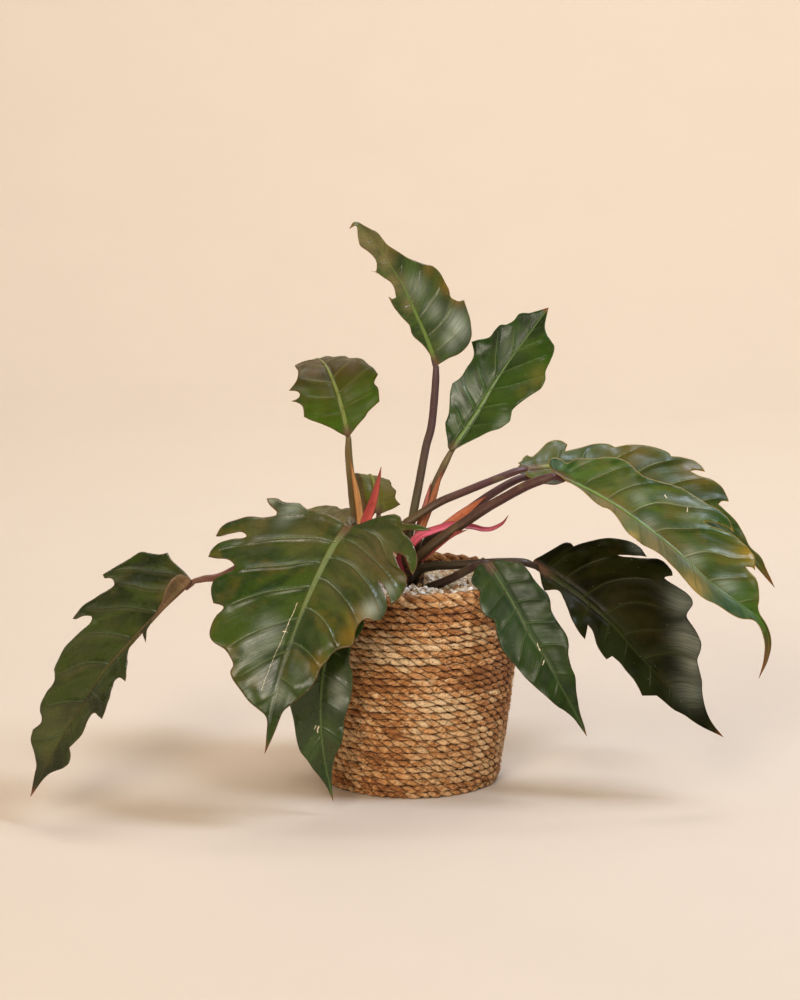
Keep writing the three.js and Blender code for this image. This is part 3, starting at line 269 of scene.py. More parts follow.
    "low_right": {
        "rib": [[119, -45, 215], [139, -55, 203], [162, -65, 188], [187, -75, 167], [212, -82, 139],
            [228, -87, 123], [261, -95, 86], [291, -100, 64]],
        "face": [[-0.1, -0.75, 0.65], [-0.1, -0.8, 0.6], [-0.1, -0.85, 0.5], [0, -0.9, 0.4]],
        "fold": {"right": [8, 8, 8, 8], "left": [8, 8, 8, 8]},
        "bend": {"right": [-8, -8, -8, -8], "left": [-8, -8, -8, -8]},
        "right": [[0, 0], [5, 6], [12, 13], [17, 20, 1], [9, 30], [13, 39], [19, 49], [25, 60], [29, 72],
            [30, 82, 1], [24, 78], [18, 74, 1], [19, 81], [25, 93], [27, 101], [27, 111, 1], [21, 112, 1],
            [19, 121], [20, 130], [21, 140], [23, 150], [25, 158, 1], [14, 167, 1], [12, 176], [10, 187],
            [6, 198], [4, 214], [0, 238, 1]],
        "left": [[0, 0], [2, -7], [11, -4], [24, 1], [34, 6], [37, 11], [36, 15, 1], [44, 20], [53, 27],
            [60, 34], [66, 41], [70, 47], [73, 53], [74, 61], [71, 70, 1], [68, 66], [64, 62], [59, 56],
            [54, 51, 1], [56, 55], [61, 61], [66, 67], [72, 73], [76, 77], [78, 83], [77, 91],
            [74, 94, 1], [67, 91], [67, 95], [70, 103], [73, 112], [73, 120], [70, 126], [65, 128],
            [59, 131], [56, 139], [54, 148], [50, 157], [44, 162], [37, 166], [33, 173], [28, 184],
            [22, 192], [15, 203], [9, 213], [4, 224], [0, 238, 1]],
    },
    "front_right": {
        "rib": [[71, -70, 224], [85, -80, 204], [100, -90, 180], [111, -98, 160], [125, -105, 140],
            [137, -111, 118], [152, -116, 91], [162, -120, 71]],
        "face": [[-0.2, -0.8, 0.55], [-0.1, -0.9, 0.4], [-0.1, -0.95, 0.3]],
        "fold": {"right": [8, 8, 8], "left": [8, 8, 8]},
        "bend": {"right": [-8, -8, -8], "left": [-8, -8, -8]},
        "right": [[0, 0], [9, -3], [16, 1], [22, 6], [23, 12], [21, 19], [26, 27], [29, 36], [28, 44],
            [24, 51], [26, 59], [29, 71], [30, 80], [28, 92], [26, 110], [22, 123], [17, 135], [12, 149],
            [8, 156], [4, 166], [2, 176], [0, 187, 1]],
        "left": [[0, 0], [5, 1], [10, 3], [14, 7], [20, 13], [26, 18], [28, 29], [28, 36], [30, 47],
            [32, 53], [31, 60], [28, 67], [28, 78], [28, 97], [25, 105], [20, 112], [17, 123], [16, 133],
            [11, 144], [8, 152], [4, 164], [2, 177], [0, 187, 1]],
    },
    "back": {
        "rib": [[-31, 32, 250], [-34, 43, 272], [-38, 58, 284], [-42, 80, 278], [-44, 104, 256],
            [-45, 124, 225]],
        "face": [[0.05, -0.95, 0.3], [0.05, -0.55, 0.85], [0, 0, 1], [-0.1, 0.4, 0.9], [-0.1, 0.7, 0.7]],
        "fold": {"right": [12, -18, -22, -15], "left": [12, 8, -4, -10]},
        "bend": {"right": [-14, -20, -14, -10], "left": [-15, -20, -20, -10]},
        "right": [[0, 0], [7, 2], [14, 4], [22, 8, 1], [18, 15], [20, 23], [17, 29], [18, 40], [22, 54],
            [25, 70], [24, 88], [19, 106], [11, 122], [4, 136], [0, 145, 1]],
        "left": [[0, 0], [4, 3], [9, 8], [12, 16], [12, 26], [12, 40], [15, 58], [17, 76], [17, 92],
            [14, 108], [9, 124], [4, 137], [0, 145, 1]],
    },
    "back_left": {
        "rib": [[-62, 20, 240], [-84, 58, 241], [-103, 88, 238], [-121, 118, 229], [-136, 146, 210],
            [-147, 170, 184]],
        "face": [[0.2, -0.3, 0.93], [0.1, -0.3, 0.95], [-0.2, 0, 1], [-0.4, 0.4, 0.8]],
        "fold": {"right": [14, 10, 8, 8], "left": [10, 10, 8, 8]},
        "bend": {"right": [-8, -8, -8, -8], "left": [-8, -8, -8, -8]},
        "right": [[0, 0], [8, -6], [18, -8], [28, -2], [33, 10, 1], [29, 24], [33, 42, 1], [30, 60],
            [32, 78], [27, 98], [23, 118], [16, 140], [8, 162], [0, 186, 1]],
        "left": [[0, 0], [8, -6], [16, -4], [22, 6], [25, 20, 1], [22, 36], [26, 52], [23, 72], [25, 90],
            [20, 108], [17, 128], [11, 148], [5, 168], [0, 186, 1]],
    },
}

# Sheaths and scales: like leaves, with one fold for both halves and half widths along the length
SHEATHS = {
    "scale_spike": {
        "face": [0.2, -1, 0.1], "fold": 38, "half": [5, 6.5, 6.5, 5.5, 3.5, 0.5],
        "rib": [[-49, -14, 204], [-47, -18, 230], [-43, -18, 254], [-36, -18, 274], [-31, -18, 293],
            [-28, -18, 306]],
    },
    "sheath_upright_left": {
        "face": [0.6, -1, 0], "fold": -30, "half": [4, 4.5, 4, 2.5, 0.5],
        "rib": [[-46.6, -7, 236], [-47.4, -8, 256], [-50, -11, 276], [-54, -12, 296],
            [-57.8, -11.6, 314]],
    },
    "sheath_upright_right": {
        "face": [0.3, -1, 0], "fold": -30, "half": [4, 4.5, 4, 3, 0.5],
        "rib": [[6, -14.2, 232], [13, -13.6, 252], [20, -12.7, 270], [25.5, -11.3, 288],
            [31.5, -10.4, 304]],
    },
    "sheath_upright_right_low": {
        "face": [-0.8, -0.8, 0.1], "fold": -30, "half": [3.5, 4, 3.5, 2.5, 0.5],
        "rib": [[3, -12.5, 236], [6.5, -12, 250], [11.5, -11, 266], [15.5, -10.3, 279], [19, -9.6, 291]],
    },
    "sheath_arch_rear": {
        "face": [0.1, -1, 0.2], "fold": -30, "half": [3.5, 4.5, 4.5, 3, 0.5],
        "rib": [[28, 0.6, 242], [40, 3.4, 250], [52, 7.3, 258], [63, 11, 265.5], [73, 14.6, 272]],
    },
    "scale_curled": {
        "face": [-0.2, -1, 0.4], "fold": 35, "half": [4, 5, 5, 4.5, 4, 4, 3.5, 3, 2.5, 1.8, 0.5],
        "rib": [[-1, -17.5, 213], [-1, -18.5, 227], [8, -17.5, 238.5], [20, -14, 243], [32, -9, 246],
            [40, -5, 247], [58, -3, 245], [68, 0, 242], [77, 2, 242], [87, 4, 247], [93, 6, 255]],
    },
    "scale_under_arch": {
        "face": [0.3, -0.9, -0.5], "fold": -30, "half": [3, 3.5, 3.5, 3, 0.5],
        "rib": [[10, -24.6, 215.7], [20, -25.4, 224.5], [30, -26, 233.4], [40, -27, 241],
            [54, -27.6, 247]],
    },
    "scale_crown": {
        "face": [-0.4, -1, 0.2], "fold": -30, "half": [6, 6, 4.5, 0.5],
        "rib": [[-8, -20.5, 193], [-11, -20, 203], [-13, -21, 214], [-9, -24, 226]],
    },
}


# Helpers for numbers and meshes

def rgb(code):
    """Linear colour from a hex code."""
    parts = [int(code[i:i + 2], 16) / 255 for i in (1, 3, 5)]
    return [c / 12.92 if c <= 0.04045 else ((c + 0.055) / 1.055) ** 2.4 for c in parts]


def lattice(i, j, seed):
    """A value between -1 and 1 for each pair of whole numbers."""
    n = np.sin(i * 127.1 + j * 311.7 + seed * 74.7) * 43758.5453
    return 2 * (n - np.floor(n)) - 1


def value_noise(x, y, seed):
    """Smooth values between -1 and 1 that vary over about one unit."""
    x = np.asarray(x, float)
    y = np.asarray(y, float)
    i = np.floor(x)
    j = np.floor(y)
    f = x - i
    g = y - j
    f = f * f * (3 - 2 * f)
    g = g * g * (3 - 2 * g)
    low = lattice(i, j, seed) * (1 - f) + lattice(i + 1, j, seed) * f
    high = lattice(i, j + 1, seed) * (1 - f) + lattice(i + 1, j + 1, seed) * f
    return low * (1 - g) + high * g


def step(low, high, x):
    """0 below low, 1 above high and a smooth rise between."""
    t = np.clip((x - low) / (high - low), 0, 1)
    return t * t * (3 - 2 * t)


def smooth_path(points, n):
    """A smooth curve through the points, n equal steps of its parameter."""
    pts = np.asarray(points, float)
    full = np.vstack([2 * pts[0] - pts[1], pts, 2 * pts[-1] - pts[-2]])
    spans = len(pts) - 1
    u = np.arange(n + 1) / n * spans
    i = np.minimum(np.floor(u).astype(int), spans - 1)
    t = (u - i)[:, None]
    a, b, c, d = full[i], full[i + 1], full[i + 2], full[i + 3]
    return 0.5 * (2 * b + (c - a) * t + (2 * a - 5 * b + 4 * c - d) * t * t
                  + (3 * b - a - 3 * c + d) * t ** 3)


def evenly(points, spacing):
    """The same line with points about one spacing apart, both ends kept."""
    pts = np.asarray(points, float)
    s = np.concatenate([[0], np.cumsum(np.linalg.norm(np.diff(pts, axis=0), axis=1))])
    n = max(1, int(round(s[-1] / spacing)))
    at = np.linspace(0, s[-1], n + 1)
    return np.stack([np.interp(at, s, pts[:, k]) for k in range(pts.shape[1])], 1)


def unit(a):
    """The same directions with length 1."""
    return a / np.maximum(np.linalg.norm(a, axis=-1, keepdims=True), 1e-12)


def radius_at(z):
    """The basket's outer radius at a height."""
    rows = np.asarray(BASKET_RADIUS, float)
    return np.interp(z, rows[:, 0], rows[:, 1])


def piece(name, points, faces, materials, values=None, slots=None, node=None, flat=False):
    """A mesh object that rides on the root body, with its values kept on the points."""
    mesh = bpy.data.meshes.new(name)
    mesh.from_pydata((np.asarray(points, float) * MM).tolist(), [], [list(map(int, f)) for f in faces])
    for key, data in (values or {}).items():
        layer = mesh.attributes.new(key, "FLOAT", "POINT")
        layer.data.foreach_set("value", np.asarray(data, np.float32))
    for material in materials:
        mesh.materials.append(material)
    if slots is not None:
        mesh.polygons.foreach_set("material_index", np.asarray(slots, np.int32))
    mesh.polygons.foreach_set("use_smooth", np.full(len(mesh.polygons), not flat))
    mesh.update()
    obj = bpy.data.objects.new(name, mesh)
    bpy.context.scene.collection.objects.link(obj)
    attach(obj, "root")
    if node:
        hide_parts(node)
    return obj


# Node building

class Surface:
    """A material whose colour, roughness and bump are made from nodes."""

    def __init__(self, name):
        self.material = bpy.data.materials.new(name)
        self.material.use_nodes = True
        self.tree = self.material.node_tree
        self.shader = next(n for n in self.tree.nodes if n.type == "BSDF_PRINCIPLED")

    def node(self, kind, **settings):
        made = self.tree.nodes.new(kind)
        for key, value in settings.items():
            setattr(made, key, value)
        return made

    def feed(self, socket, value):
        """Links a node's output to a socket, or sets the socket to a number or colour."""
        if isinstance(value, bpy.types.NodeSocket):
            self.tree.links.new(value, socket)
        elif isinstance(value, (list, tuple)):
            socket.default_value = list(value) + [1] * (len(socket.default_value) - len(value))
        else:
            socket.default_value = value

    def value(self, name):
        """A number kept on the mesh points."""
        return self.node("ShaderNodeAttribute", attribute_name=name).outputs["Fac"]

    def math(self, operation, *inputs, clamp=False):
        made = self.node("ShaderNodeMath", operation=operation, use_clamp=clamp)
        for socket, item in zip(made.inputs, inputs):
            self.feed(socket, item)
        return made.outputs[0]

    def times(self, a, b, clamp=False):
        return self.math("MULTIPLY", a, b, clamp=clamp)

    def plus(self, a, b):
        return self.math("ADD", a, b)

    def minus(self, a, b):
        return self.math("SUBTRACT", a, b)

    def rise(self, x, low, high, to_low=0.0, to_high=1.0):
        """A smooth change from to_low, where x is low, to to_high, where x is high."""
        made = self.node("ShaderNodeMapRange", interpolation_type="SMOOTHSTEP")
        for socket, item in zip(made.inputs, (x, low, high, to_low, to_high)):
            self.feed(socket, item)
        return made.outputs[0]

    def mix(self, factor, a, b, blend="MIX"):
        made = self.node("ShaderNodeMix", data_type="RGBA", blend_type=blend)
        self.feed(made.inputs[0], factor)
        self.feed(made.inputs[6], a)
        self.feed(made.inputs[7], b)
        return made.outputs[2]

    def place(self):
        return self.node("ShaderNodeTexCoord").outputs["Object"]

    def vector(self, x, y, z=0.0):
        made = self.node("ShaderNodeCombineXYZ")
        for socket, item in zip(made.inputs, (x, y, z)):
            self.feed(socket, item)
        return made.outputs[0]

    def stretched(self, x, by_x, y, by_y, z=0.0):
        """A place in a texture from two values, each scaled by its own number."""
        return self.vector(self.times(x, by_x), self.times(y, by_y), z)

    def noise(self, scale, detail=2.0, rough=0.5, at=None, distortion=0.0):
        made = self.node("ShaderNodeTexNoise")
        self.feed(made.inputs["Vector"], at or self.place())
        self.feed(made.inputs["Scale"], scale)
        self.feed(made.inputs["Detail"], detail)
        self.feed(made.inputs["Roughness"], rough)
        self.feed(made.inputs["Distortion"], distortion)
        return made.outputs["Fac"]

    def cells(self, scale, at=None):
        made = self.node("ShaderNodeTexVoronoi")
        self.feed(made.inputs["Vector"], at or self.place())
        self.feed(made.inputs["Scale"], scale)
        return made.outputs["Distance"]

    def ramp(self, factor, stops):
        made = self.node("ShaderNodeValToRGB")
        while len(made.color_ramp.elements) < len(stops):
            made.color_ramp.elements.new(0.5)
        for element, (place, colour) in zip(made.color_ramp.elements, stops):
            element.position = place
            element.color = [*rgb(colour), 1]
        self.feed(made.inputs[0], factor)
        return made.outputs[0]

    def bump(self, height, distance, strength=1.0, below=None):
        made = self.node("ShaderNodeBump")
        self.feed(made.inputs["Height"], height)
        self.feed(made.inputs["Distance"], distance)
        self.feed(made.inputs["Strength"], strength)
        if below is not None:
            self.feed(made.inputs["Normal"], below)
        return made.outputs[0]

    def finish(self, colour, roughness, bump=None, **settings):
        self.feed(self.shader.inputs["Base Color"], colour)
        self.feed(self.shader.inputs["Roughness"], roughness)
        if bump is not None:
            self.feed(self.shader.inputs["Normal"], bump)
        for key, setting in settings.items():
            self.shader.inputs[key.replace("_", " ")].default_value = setting
        return self.material


# The surface a flat leaf is laid on

RIB_STEPS = 60
BEND_SPAN = 50
GRID = np.linspace(0, 1, 101)


def leaf_frame(spec):
    """The midrib in space, with its direction, the way the face looks and the way to the right."""
    n = RIB_STEPS
    pts = smooth_path(spec["rib"], n)
    s = np.concatenate([[0], np.cumsum(np.linalg.norm(np.diff(pts, axis=0), axis=1))])
    length = s[-1]
    index = np.arange(n + 1)
    t = unit(pts[np.minimum(index + 1, n)] - pts[np.maximum(index - 1, 0)])
    face = np.asarray(spec["face"], float)
    knots = np.linspace(0, 1, len(face))
    n3 = np.stack([np.interp(s / length, knots, face[:, k]) for k in range(3)], 1)
    n3 = unit(n3 - t * np.sum(n3 * t, 1, keepdims=True))
    return {"spec": spec, "s": s, "p": pts, "t": t, "n": n3, "side": np.cross(t, n3), "length": length}


def soften(knots):
    """An evenly spaced list as values on the grid, with its corners taken off."""
    line = np.interp(GRID, np.linspace(0, 1, len(knots)), knots)
    padded = np.pad(line, 6, mode="edge")
    return np.convolve(padded, np.ones(13) / 13, mode="valid")


def leaf_points(fr, x, y, lift):
    """Points of the laid leaf for flat x and y, lifted off its own surface."""
    spec = fr["spec"]
    yc = np.clip(y, 0, fr["length"])
    u = yc / fr["length"]

    def at(key):
        return np.stack([np.interp(yc, fr["s"], fr[key][:, k]) for k in range(3)], 1)

    right = x >= 0
    angle = {}
    for key in ("fold", "bend"):
        values = [np.interp(u, GRID, soften(spec[key][half])) for half in ("right", "left")]
        angle[key] = np.radians(np.where(right, values[0], values[1]))
    fold = angle["fold"]
    bend = angle["bend"] / BEND_SPAN
    bend = np.where(np.abs(bend) < 1e-5, 1e-5, bend)
    ax = np.abs(x)
    turn = fold + bend * ax
    across = (np.sin(turn) - np.sin(fold)) / bend
    up = (np.cos(fold) - np.cos(turn)) / bend
    sign = np.where(right, 1.0, -1.0)
    t = at("t")
    n = unit(at("n"))
    side = unit(at("side"))
    middle = ax < 0.05
    turn = np.where(middle, 0, turn)
    own = n * np.cos(turn)[:, None] - side * (sign * np.sin(turn))[:, None]
    p = at("p") + t * (y - yc)[:, None] + side * (sign * across)[:, None] + n * up[:, None]
    return p + own * np.asarray(lift)[:, None]


def margin(points, spacing):
    """A margin list as an even line, smooth between its sharp points."""
    runs = []
    start = 0
    for i in range(1, len(points)):
        if len(points[i]) == 2 and i < len(points) - 1:
            continue
        run = np.array([p[:2] for p in points[start:i + 1]], float)
        if len(run) > 2:
            run = smooth_path(run, (len(run) - 1) * 12)
        runs.append(evenly(run, spacing)[:-1])
        start = i
    line = np.vstack([*runs, [points[-1][:2]]])
    line[:, 0] = np.maximum(line[:, 0], 0)
    return line


def inside_of(p, loop):
    """Which points lie inside a closed loop."""
    odd = np.zeros(len(p), bool)
    for (ax, ay), (bx, by) in zip(loop, np.roll(loop, -1, axis=0)):
        if ay == by:
            continue
        crosses = (ay > p[:, 1]) != (by > p[:, 1])
        odd ^= crosses & (p[:, 0] < (bx - ax) * (p[:, 1] - ay) / (by - ay) + ax)
    return odd


def distance_to(p, loop):
    """How far each point is from a closed loop."""
    best = np.full(len(p), 1e9)
    for a, b in zip(loop, np.roll(loop, -1, axis=0)):
        d = b - a
        t = np.clip(((p - a) @ d) / max(d @ d, 1e-12), 0, 1)
        best = np.minimum(best, np.sum((p - a - t[:, None] * d) ** 2, 1))
    return np.sqrt(best)


def flat_leaf(spec, cell, rows):
    """Points and triangles of the flat leaf, its outline and its length.

    The midrib is an edge line. Beside it, points stand in straight rows, and further out in a
    honeycomb whose cells have the size given.
    """
    right = margin(spec["right"], cell * 0.9)
    left = margin(spec["left"], cell * 0.9) * [-1, 1]
    loop = np.vstack([right, left[::-1][1:-1]])
    length = right[-1, 1]
    n = int(length / (cell * 1.1))
    rib = np.stack([np.zeros(n - 1), np.linspace(0, length, n + 1)[1:-1]], 1)
    inner = []
    for offset in rows:
        y = np.arange(-8, length, cell * 1.15) + offset * 0.4
        for sign in (-1, 1):
            inner.append(np.stack([np.full(len(y), sign * offset), y], 1))
    first = rows[-1] + cell * 0.8 if rows else cell * 0.8
    low = loop.min(0)
    high = loop.max(0)
    for k, y in enumerate(np.arange(low[1], high[1], cell * 0.87)):
        start = first + (k % 2) * cell / 2
        for x in (np.arange(start, high[0], cell), -np.arange(start, -low[0], cell)):
            inner.append(np.stack([x, np.full(len(x), y)], 1))
    inner = np.vstack(inner)
    inner = inner[inside_of(inner, loop)]
    inner = inner[distance_to(inner, loop) > cell * 0.45]
    points = np.vstack([loop, rib, inner])
    m = len(loop)
    ends = [0, *range(m, m + n - 1), len(right) - 1]
    edges = [(i, (i + 1) % m) for i in range(m)] + list(zip(ends[:-1], ends[1:]))
    made = delaunay_2d_cdt([Vector(p) for p in points], edges, [], 1, 1e-4)
    flat = np.array([list(p) for p in made[0]])
    tris = np.array(made[2])
    a, b, c = flat[tris[:, 0]], flat[tris[:, 1]], flat[tris[:, 2]]
    area = (b[:, 0] - a[:, 0]) * (c[:, 1] - a[:, 1]) - (b[:, 1] - a[:, 1]) * (c[:, 0] - a[:, 0])
    tris[area < 0] = tris[area < 0][:, ::-1]
    return flat, tris, loop, length


def two_sided(tris):
    """The triangles of both faces and of the wall between them, and how many one face has."""
    count = tris.max() + 1
    edges = {}
    for a, b, c in tris.tolist():
        for e in ((a, b), (b, c), (c, a)):
            edges[e] = True
    rim = [e for e in edges if (e[1], e[0]) not in edges]
    wall = []
    for a, b in rim:
        wall.append((a, a + count, b + count))
        wall.append((a, b + count, b))
    low = tris[:, ::-1] + count
    return np.vstack([tris, low, np.array(wall)]), len(tris)


# Leaf looks: colours, the number of lateral veins, how strongly they point forward, their height
# (mm), the roughness and gloss. "slopes" says how the veins leave the midrib and how they curve on, for
# the right and left half; "warm" and "bronze" are the clouded colour and its share; "pale" is how light
# the veins are, "rib_end" how much of the midrib's colour is left at the tip, "matte" what the right half
# adds to the roughness, and "tip" where the dry tip starts. Scars are [across, along, across, along,
# width], and painted highlight spots, pale patches painted where light glints, are [across, along,
# radius, strength]. There are two tints, each with its colour and its spots. Across is positive on the
# right half.
LOOKS = {
    "far_left": {
        "dark": "#18240f", "light": "#2c3c18", "warm": "#4a4a20", "rib": "#5a4526", "vein": "#4a5a30",
        "under": "#8a6a48", "rim": "#4f3a20", "veins": 7.5, "forward": 0.9, "relief": 1.0, "rough": 0.34,
        "bronze": 0.4, "slopes": [[0.6, 0.4], [0.6, 0.4]],
        "tints": [["#3f4a20", [[40, 90, 30, 0.6], [20, 190, 25, 0.6]]], ["#7a5c34", [[-14, 18, 15, 0.8],
            [8, 14, 12, 0.5]]]],
    },
    "front_left": {
        "dark": "#21351a", "light": "#374b1e", "warm": "#585029", "rib": "#737f4e", "vein": "#6b7a4a",
        "under": "#6d6a48", "veins": 7.5, "forward": 0.9, "relief": 1.15, "rough": 0.31, "gloss": 0.26,
        "bronze": 0.6, "rib_wide": 2.6, "rib_end": 0.1, "slopes": [[0.9, 0.3], [0.0, 1.3]],
        "scar": [[7, 90, 8, 119, 0.3], [6, 119, 10, 120, 0.55], [8, 119, 13, 176, 0.22]],
        "painted_highlight": [[24, 122, 11, 0.35], [36, 138, 7, 0.2], [21, 158, 8, 0.2], [-2, 176, 8, 0.35],
            [57, 13, 9, 0.4], [82, 15, 7, 0.45], [-61, 76, 8, 0.6], [-69, 53, 7, 0.5]],
        "tints": [["#5b5234", [[30, 20, 24, 0.5], [70, 34, 22, 0.5], [-40, 20, 30, 0.7],
            [-20, 60, 20, 0.4]]], ["#8a6a1f", [[-54, 88, 12, 0.55], [-50, 108, 10, 0.7],
            [50, 172, 9, 0.6], [40, 188, 8, 0.5], [-30, 140, 8, 0.5]]]],
    },
    "front_small": {
        "dark": "#1b300f", "light": "#2b4519", "warm": "#43481c", "rib": "#5f7a3a", "vein": "#55693a",
        "under": "#5d5a3a", "rim": "#4a4a26", "veins": 8, "forward": 1.0, "relief": 0.75, "rough": 0.28,
        "bronze": 0.3, "pale": 0.15, "rib_end": 0.6,
        "scar": [[2, 121, 3, 126, 0.9], [5, 120, 6, 123, 0.5]],
        "painted_highlight": [[-16, 83, 8, 0.45], [-19, 95, 7, 0.5]],
        "tints": [["#42542a", [[10, 120, 24, 0.4]]], ["#3a4a20", [[-12, 60, 20, 0.5]]]],
    },
    "upright_left": {
        "dark": "#2b2f12", "light": "#404214", "warm": "#5a4426", "rib": "#7f8a48", "vein": "#7d7f45",
        "under": "#7a6a40", "rim": "#6a4a2a", "veins": 8.5, "forward": 0.7, "relief": 1.3, "rough": 0.46,
        "gloss": 0.15, "bronze": 0.7, "rib_end": 0.6,
        "tints": [["#3f5c0c", [[0, 5, 34, 0.95], [28, 35, 24, 0.85], [-25, 28, 24, 0.8]]],
            ["#48371a", [[-6, 98, 34, 0.9], [0, 140, 40, 0.95], [-34, 66, 12, 0.6], [22, 68, 16, 0.85],
            [36, 60, 10, 0.6], [8, 74, 14, 0.8]]]],
    },
    "tall": {
        "dark": "#243a1e", "light": "#3f562c", "warm": "#52502a", "rib": "#6f863c", "vein": "#7f8c5c",
        "under": "#5d4a30", "rim": "#7a5a2a", "veins": 8, "forward": 1.0, "relief": 1.0, "rough": 0.31,
        "bronze": 0.5,
        "painted_highlight": [[32, 27, 10, 0.8], [21, 18, 8, 0.6], [11, 77, 9, 0.4], [17, 50, 8, 0.45]],
        "tints": [["#8a641c", [[38, 64, 7, 0.7], [43, 48, 7, 0.7], [31, 86, 6, 0.45], [12, 120, 7, 0.4]]],
            ["#85754a", [[-6, 92, 9, 0.85], [-5, 140, 16, 0.9], [-4, 66, 6, 0.7], [-3, 116, 9, 0.8]]]],
    },
    "upright_right": {
        "dark": "#172b13", "light": "#274117", "warm": "#3f5a1c", "rib": "#6c8748", "vein": "#6f8a4c",
        "under": "#4d5a34", "rim": "#4a5a2a", "veins": 8, "forward": 1.0, "relief": 1.0, "rough": 0.31,
        "gloss": 0.2, "bronze": 0.4, "rib_end": 0.7, "slopes": [[1.3, 0.3], [1.5, 0.2]],
        "painted_highlight": [[-28, 55, 12, 0.35], [-19, 72, 8, 0.15], [29, 49, 6, 0.3], [-10, 118, 12, 0.1]],
        "tints": [["#33500f", [[20, 60, 28, 0.7], [26, 110, 22, 0.7]]], ["#6a6a2a", [[36, 104, 9, 0.7],
            [30, 84, 6, 0.4]]]],
    },
    "arch_front": {
        "dark": "#24421a", "light": "#3e5c22", "warm": "#5f5630", "rib": "#6d8c3c", "vein": "#8a9260",
        "under": "#7a6a42", "rim": "#8f7434", "veins": 10, "forward": 1.5, "relief": 1.2, "rough": 0.36,
        "gloss": 0.25, "matte": 0.3, "bronze": 0.6, "rib_wide": 0.5, "rib_end": 0.4, "tip": 0.8,
        "scar": [[-37, 94, -36, 97, 0.6], [-40, 117, -37, 119, 0.5]],
        "painted_highlight": [[-6, 150, 9, 0.35], [-9, 191, 9, 0.4], [-5, 99, 7, 0.3], [-19, 78, 7, 0.3],
            [-52, 122, 8, 0.3]],
        "tints": [["#6b5c2c", [[-25, 60, 18, 0.35], [-35, 110, 20, 0.4], [-30, 170, 20, 0.35],
            [12, 120, 24, 0.95], [10, 60, 22, 0.95], [12, 165, 16, 0.8]]],
            ["#94792a", [[-50, 190, 14, 0.8], [20, 95, 5, 0.8], [21, 175, 6, 0.8], [-40, 208, 12, 0.8],
            [16, 170, 10, 0.6]]]],
    },
    "arch_back": {
        "dark": "#233c16", "light": "#3d521e", "warm": "#5f5630", "rib": "#8e9446", "vein": "#8a9260",
        "under": "#7a6a42", "rim": "#8f7434", "veins": 10, "forward": 1.5, "relief": 1.1, "rough": 0.38,
        "gloss": 0.22, "bronze": 0.6, "tip": 0.88,
        "tints": [["#4f5212", [[0, 5, 30, 0.9], [-20, 25, 22, 0.9], [0, 262, 20, 0.5]]],
            ["#6b5a24", [[-30, 100, 20, 0.7], [10, 120, 24, 0.6], [-30, 160, 18, 0.7]]]],
    },
    "arch_rear": {
        "dark": "#21361a", "light": "#364f24", "warm": "#52502a", "rib": "#7a8a42", "vein": "#71804c",
        "under": "#56603a", "veins": 8, "forward": 1.1, "relief": 1.0, "rough": 0.34,
        "tints": [["#5a5530", [[20, 60, 24, 0.5]]], ["#60602e", [[-18, 120, 22, 0.6]]]],
    },
    "low_right": {
        "dark": "#0c0d02", "light": "#191e06", "warm": "#2f270f", "rib": "#343c1c", "vein": "#454c2a",
        "under": "#2c2c1c", "rim": "#3c2a16", "veins": 9, "forward": 1.1, "relief": 0.6, "rough": 0.36,
        "gloss": 0.06, "bronze": 0.5,
        "painted_highlight": [[-64, 117, 13, 0.4], [-44, 150, 14, 0.4], [-16, 184, 14, 0.3], [-72, 60, 6, 0.2],
            [-32, 168, 12, 0.35]],
        "tints": [["#2c2c0e", [[-20, 90, 28, 0.6], [10, 40, 20, 0.5]]], ["#232c12", [[18, 110, 22, 0.8],
            [15, 150, 20, 0.8], [22, 60, 14, 0.6]]]],
    },
    "front_right": {
        "dark": "#172a11", "light": "#243b16", "warm": "#3f4a22", "rib": "#4d6130", "vein": "#5a6c44",
        "under": "#4a5534", "rim": "#4a3a22", "veins": 8, "forward": 1.0, "relief": 0.6, "rough": 0.4,
        "gloss": 0.2, "bronze": 0.4, "rib_wide": 0.9, "rib_end": 0.6,
        "scar": [[-1, 89, 0, 96, 0.6], [2, 106, 5, 109, 0.8]],
        "painted_highlight": [[27, 106, 4, 0.4], [20, 134, 4, 0.4], [29, 37, 4, 0.5]],
        "tints": [["#3a5230", [[14, 60, 24, 0.5]]], ["#2b401a", [[-14, 110, 22, 0.5]]]],
    },
    "back": {
        "dark": "#4a4c1c", "light": "#6a6624", "warm": "#5c4e22", "rib": "#7f7c3a", "vein": "#7a7238",
        "under": "#6a6034", "veins": 7, "forward": 0.8, "relief": 0.7, "rough": 0.46, "gloss": 0.15,
        "tints": [["#60681f", [[0, 10, 24, 0.7]]], ["#5c4a28", [[14, 30, 16, 0.5]]]],
    },
    "back_left": {
        "dark": "#3a401a", "light": "#565722", "warm": "#55491f", "rib": "#75773a", "vein": "#6a6b38",
        "under": "#5a5630", "veins": 8, "forward": 0.9, "relief": 0.7, "rough": 0.46, "gloss": 0.15,
        "tints": [["#625820", [[18, 40, 20, 0.6]]], ["#454d1c", [[-14, 100, 24, 0.6]]]],
    },
}


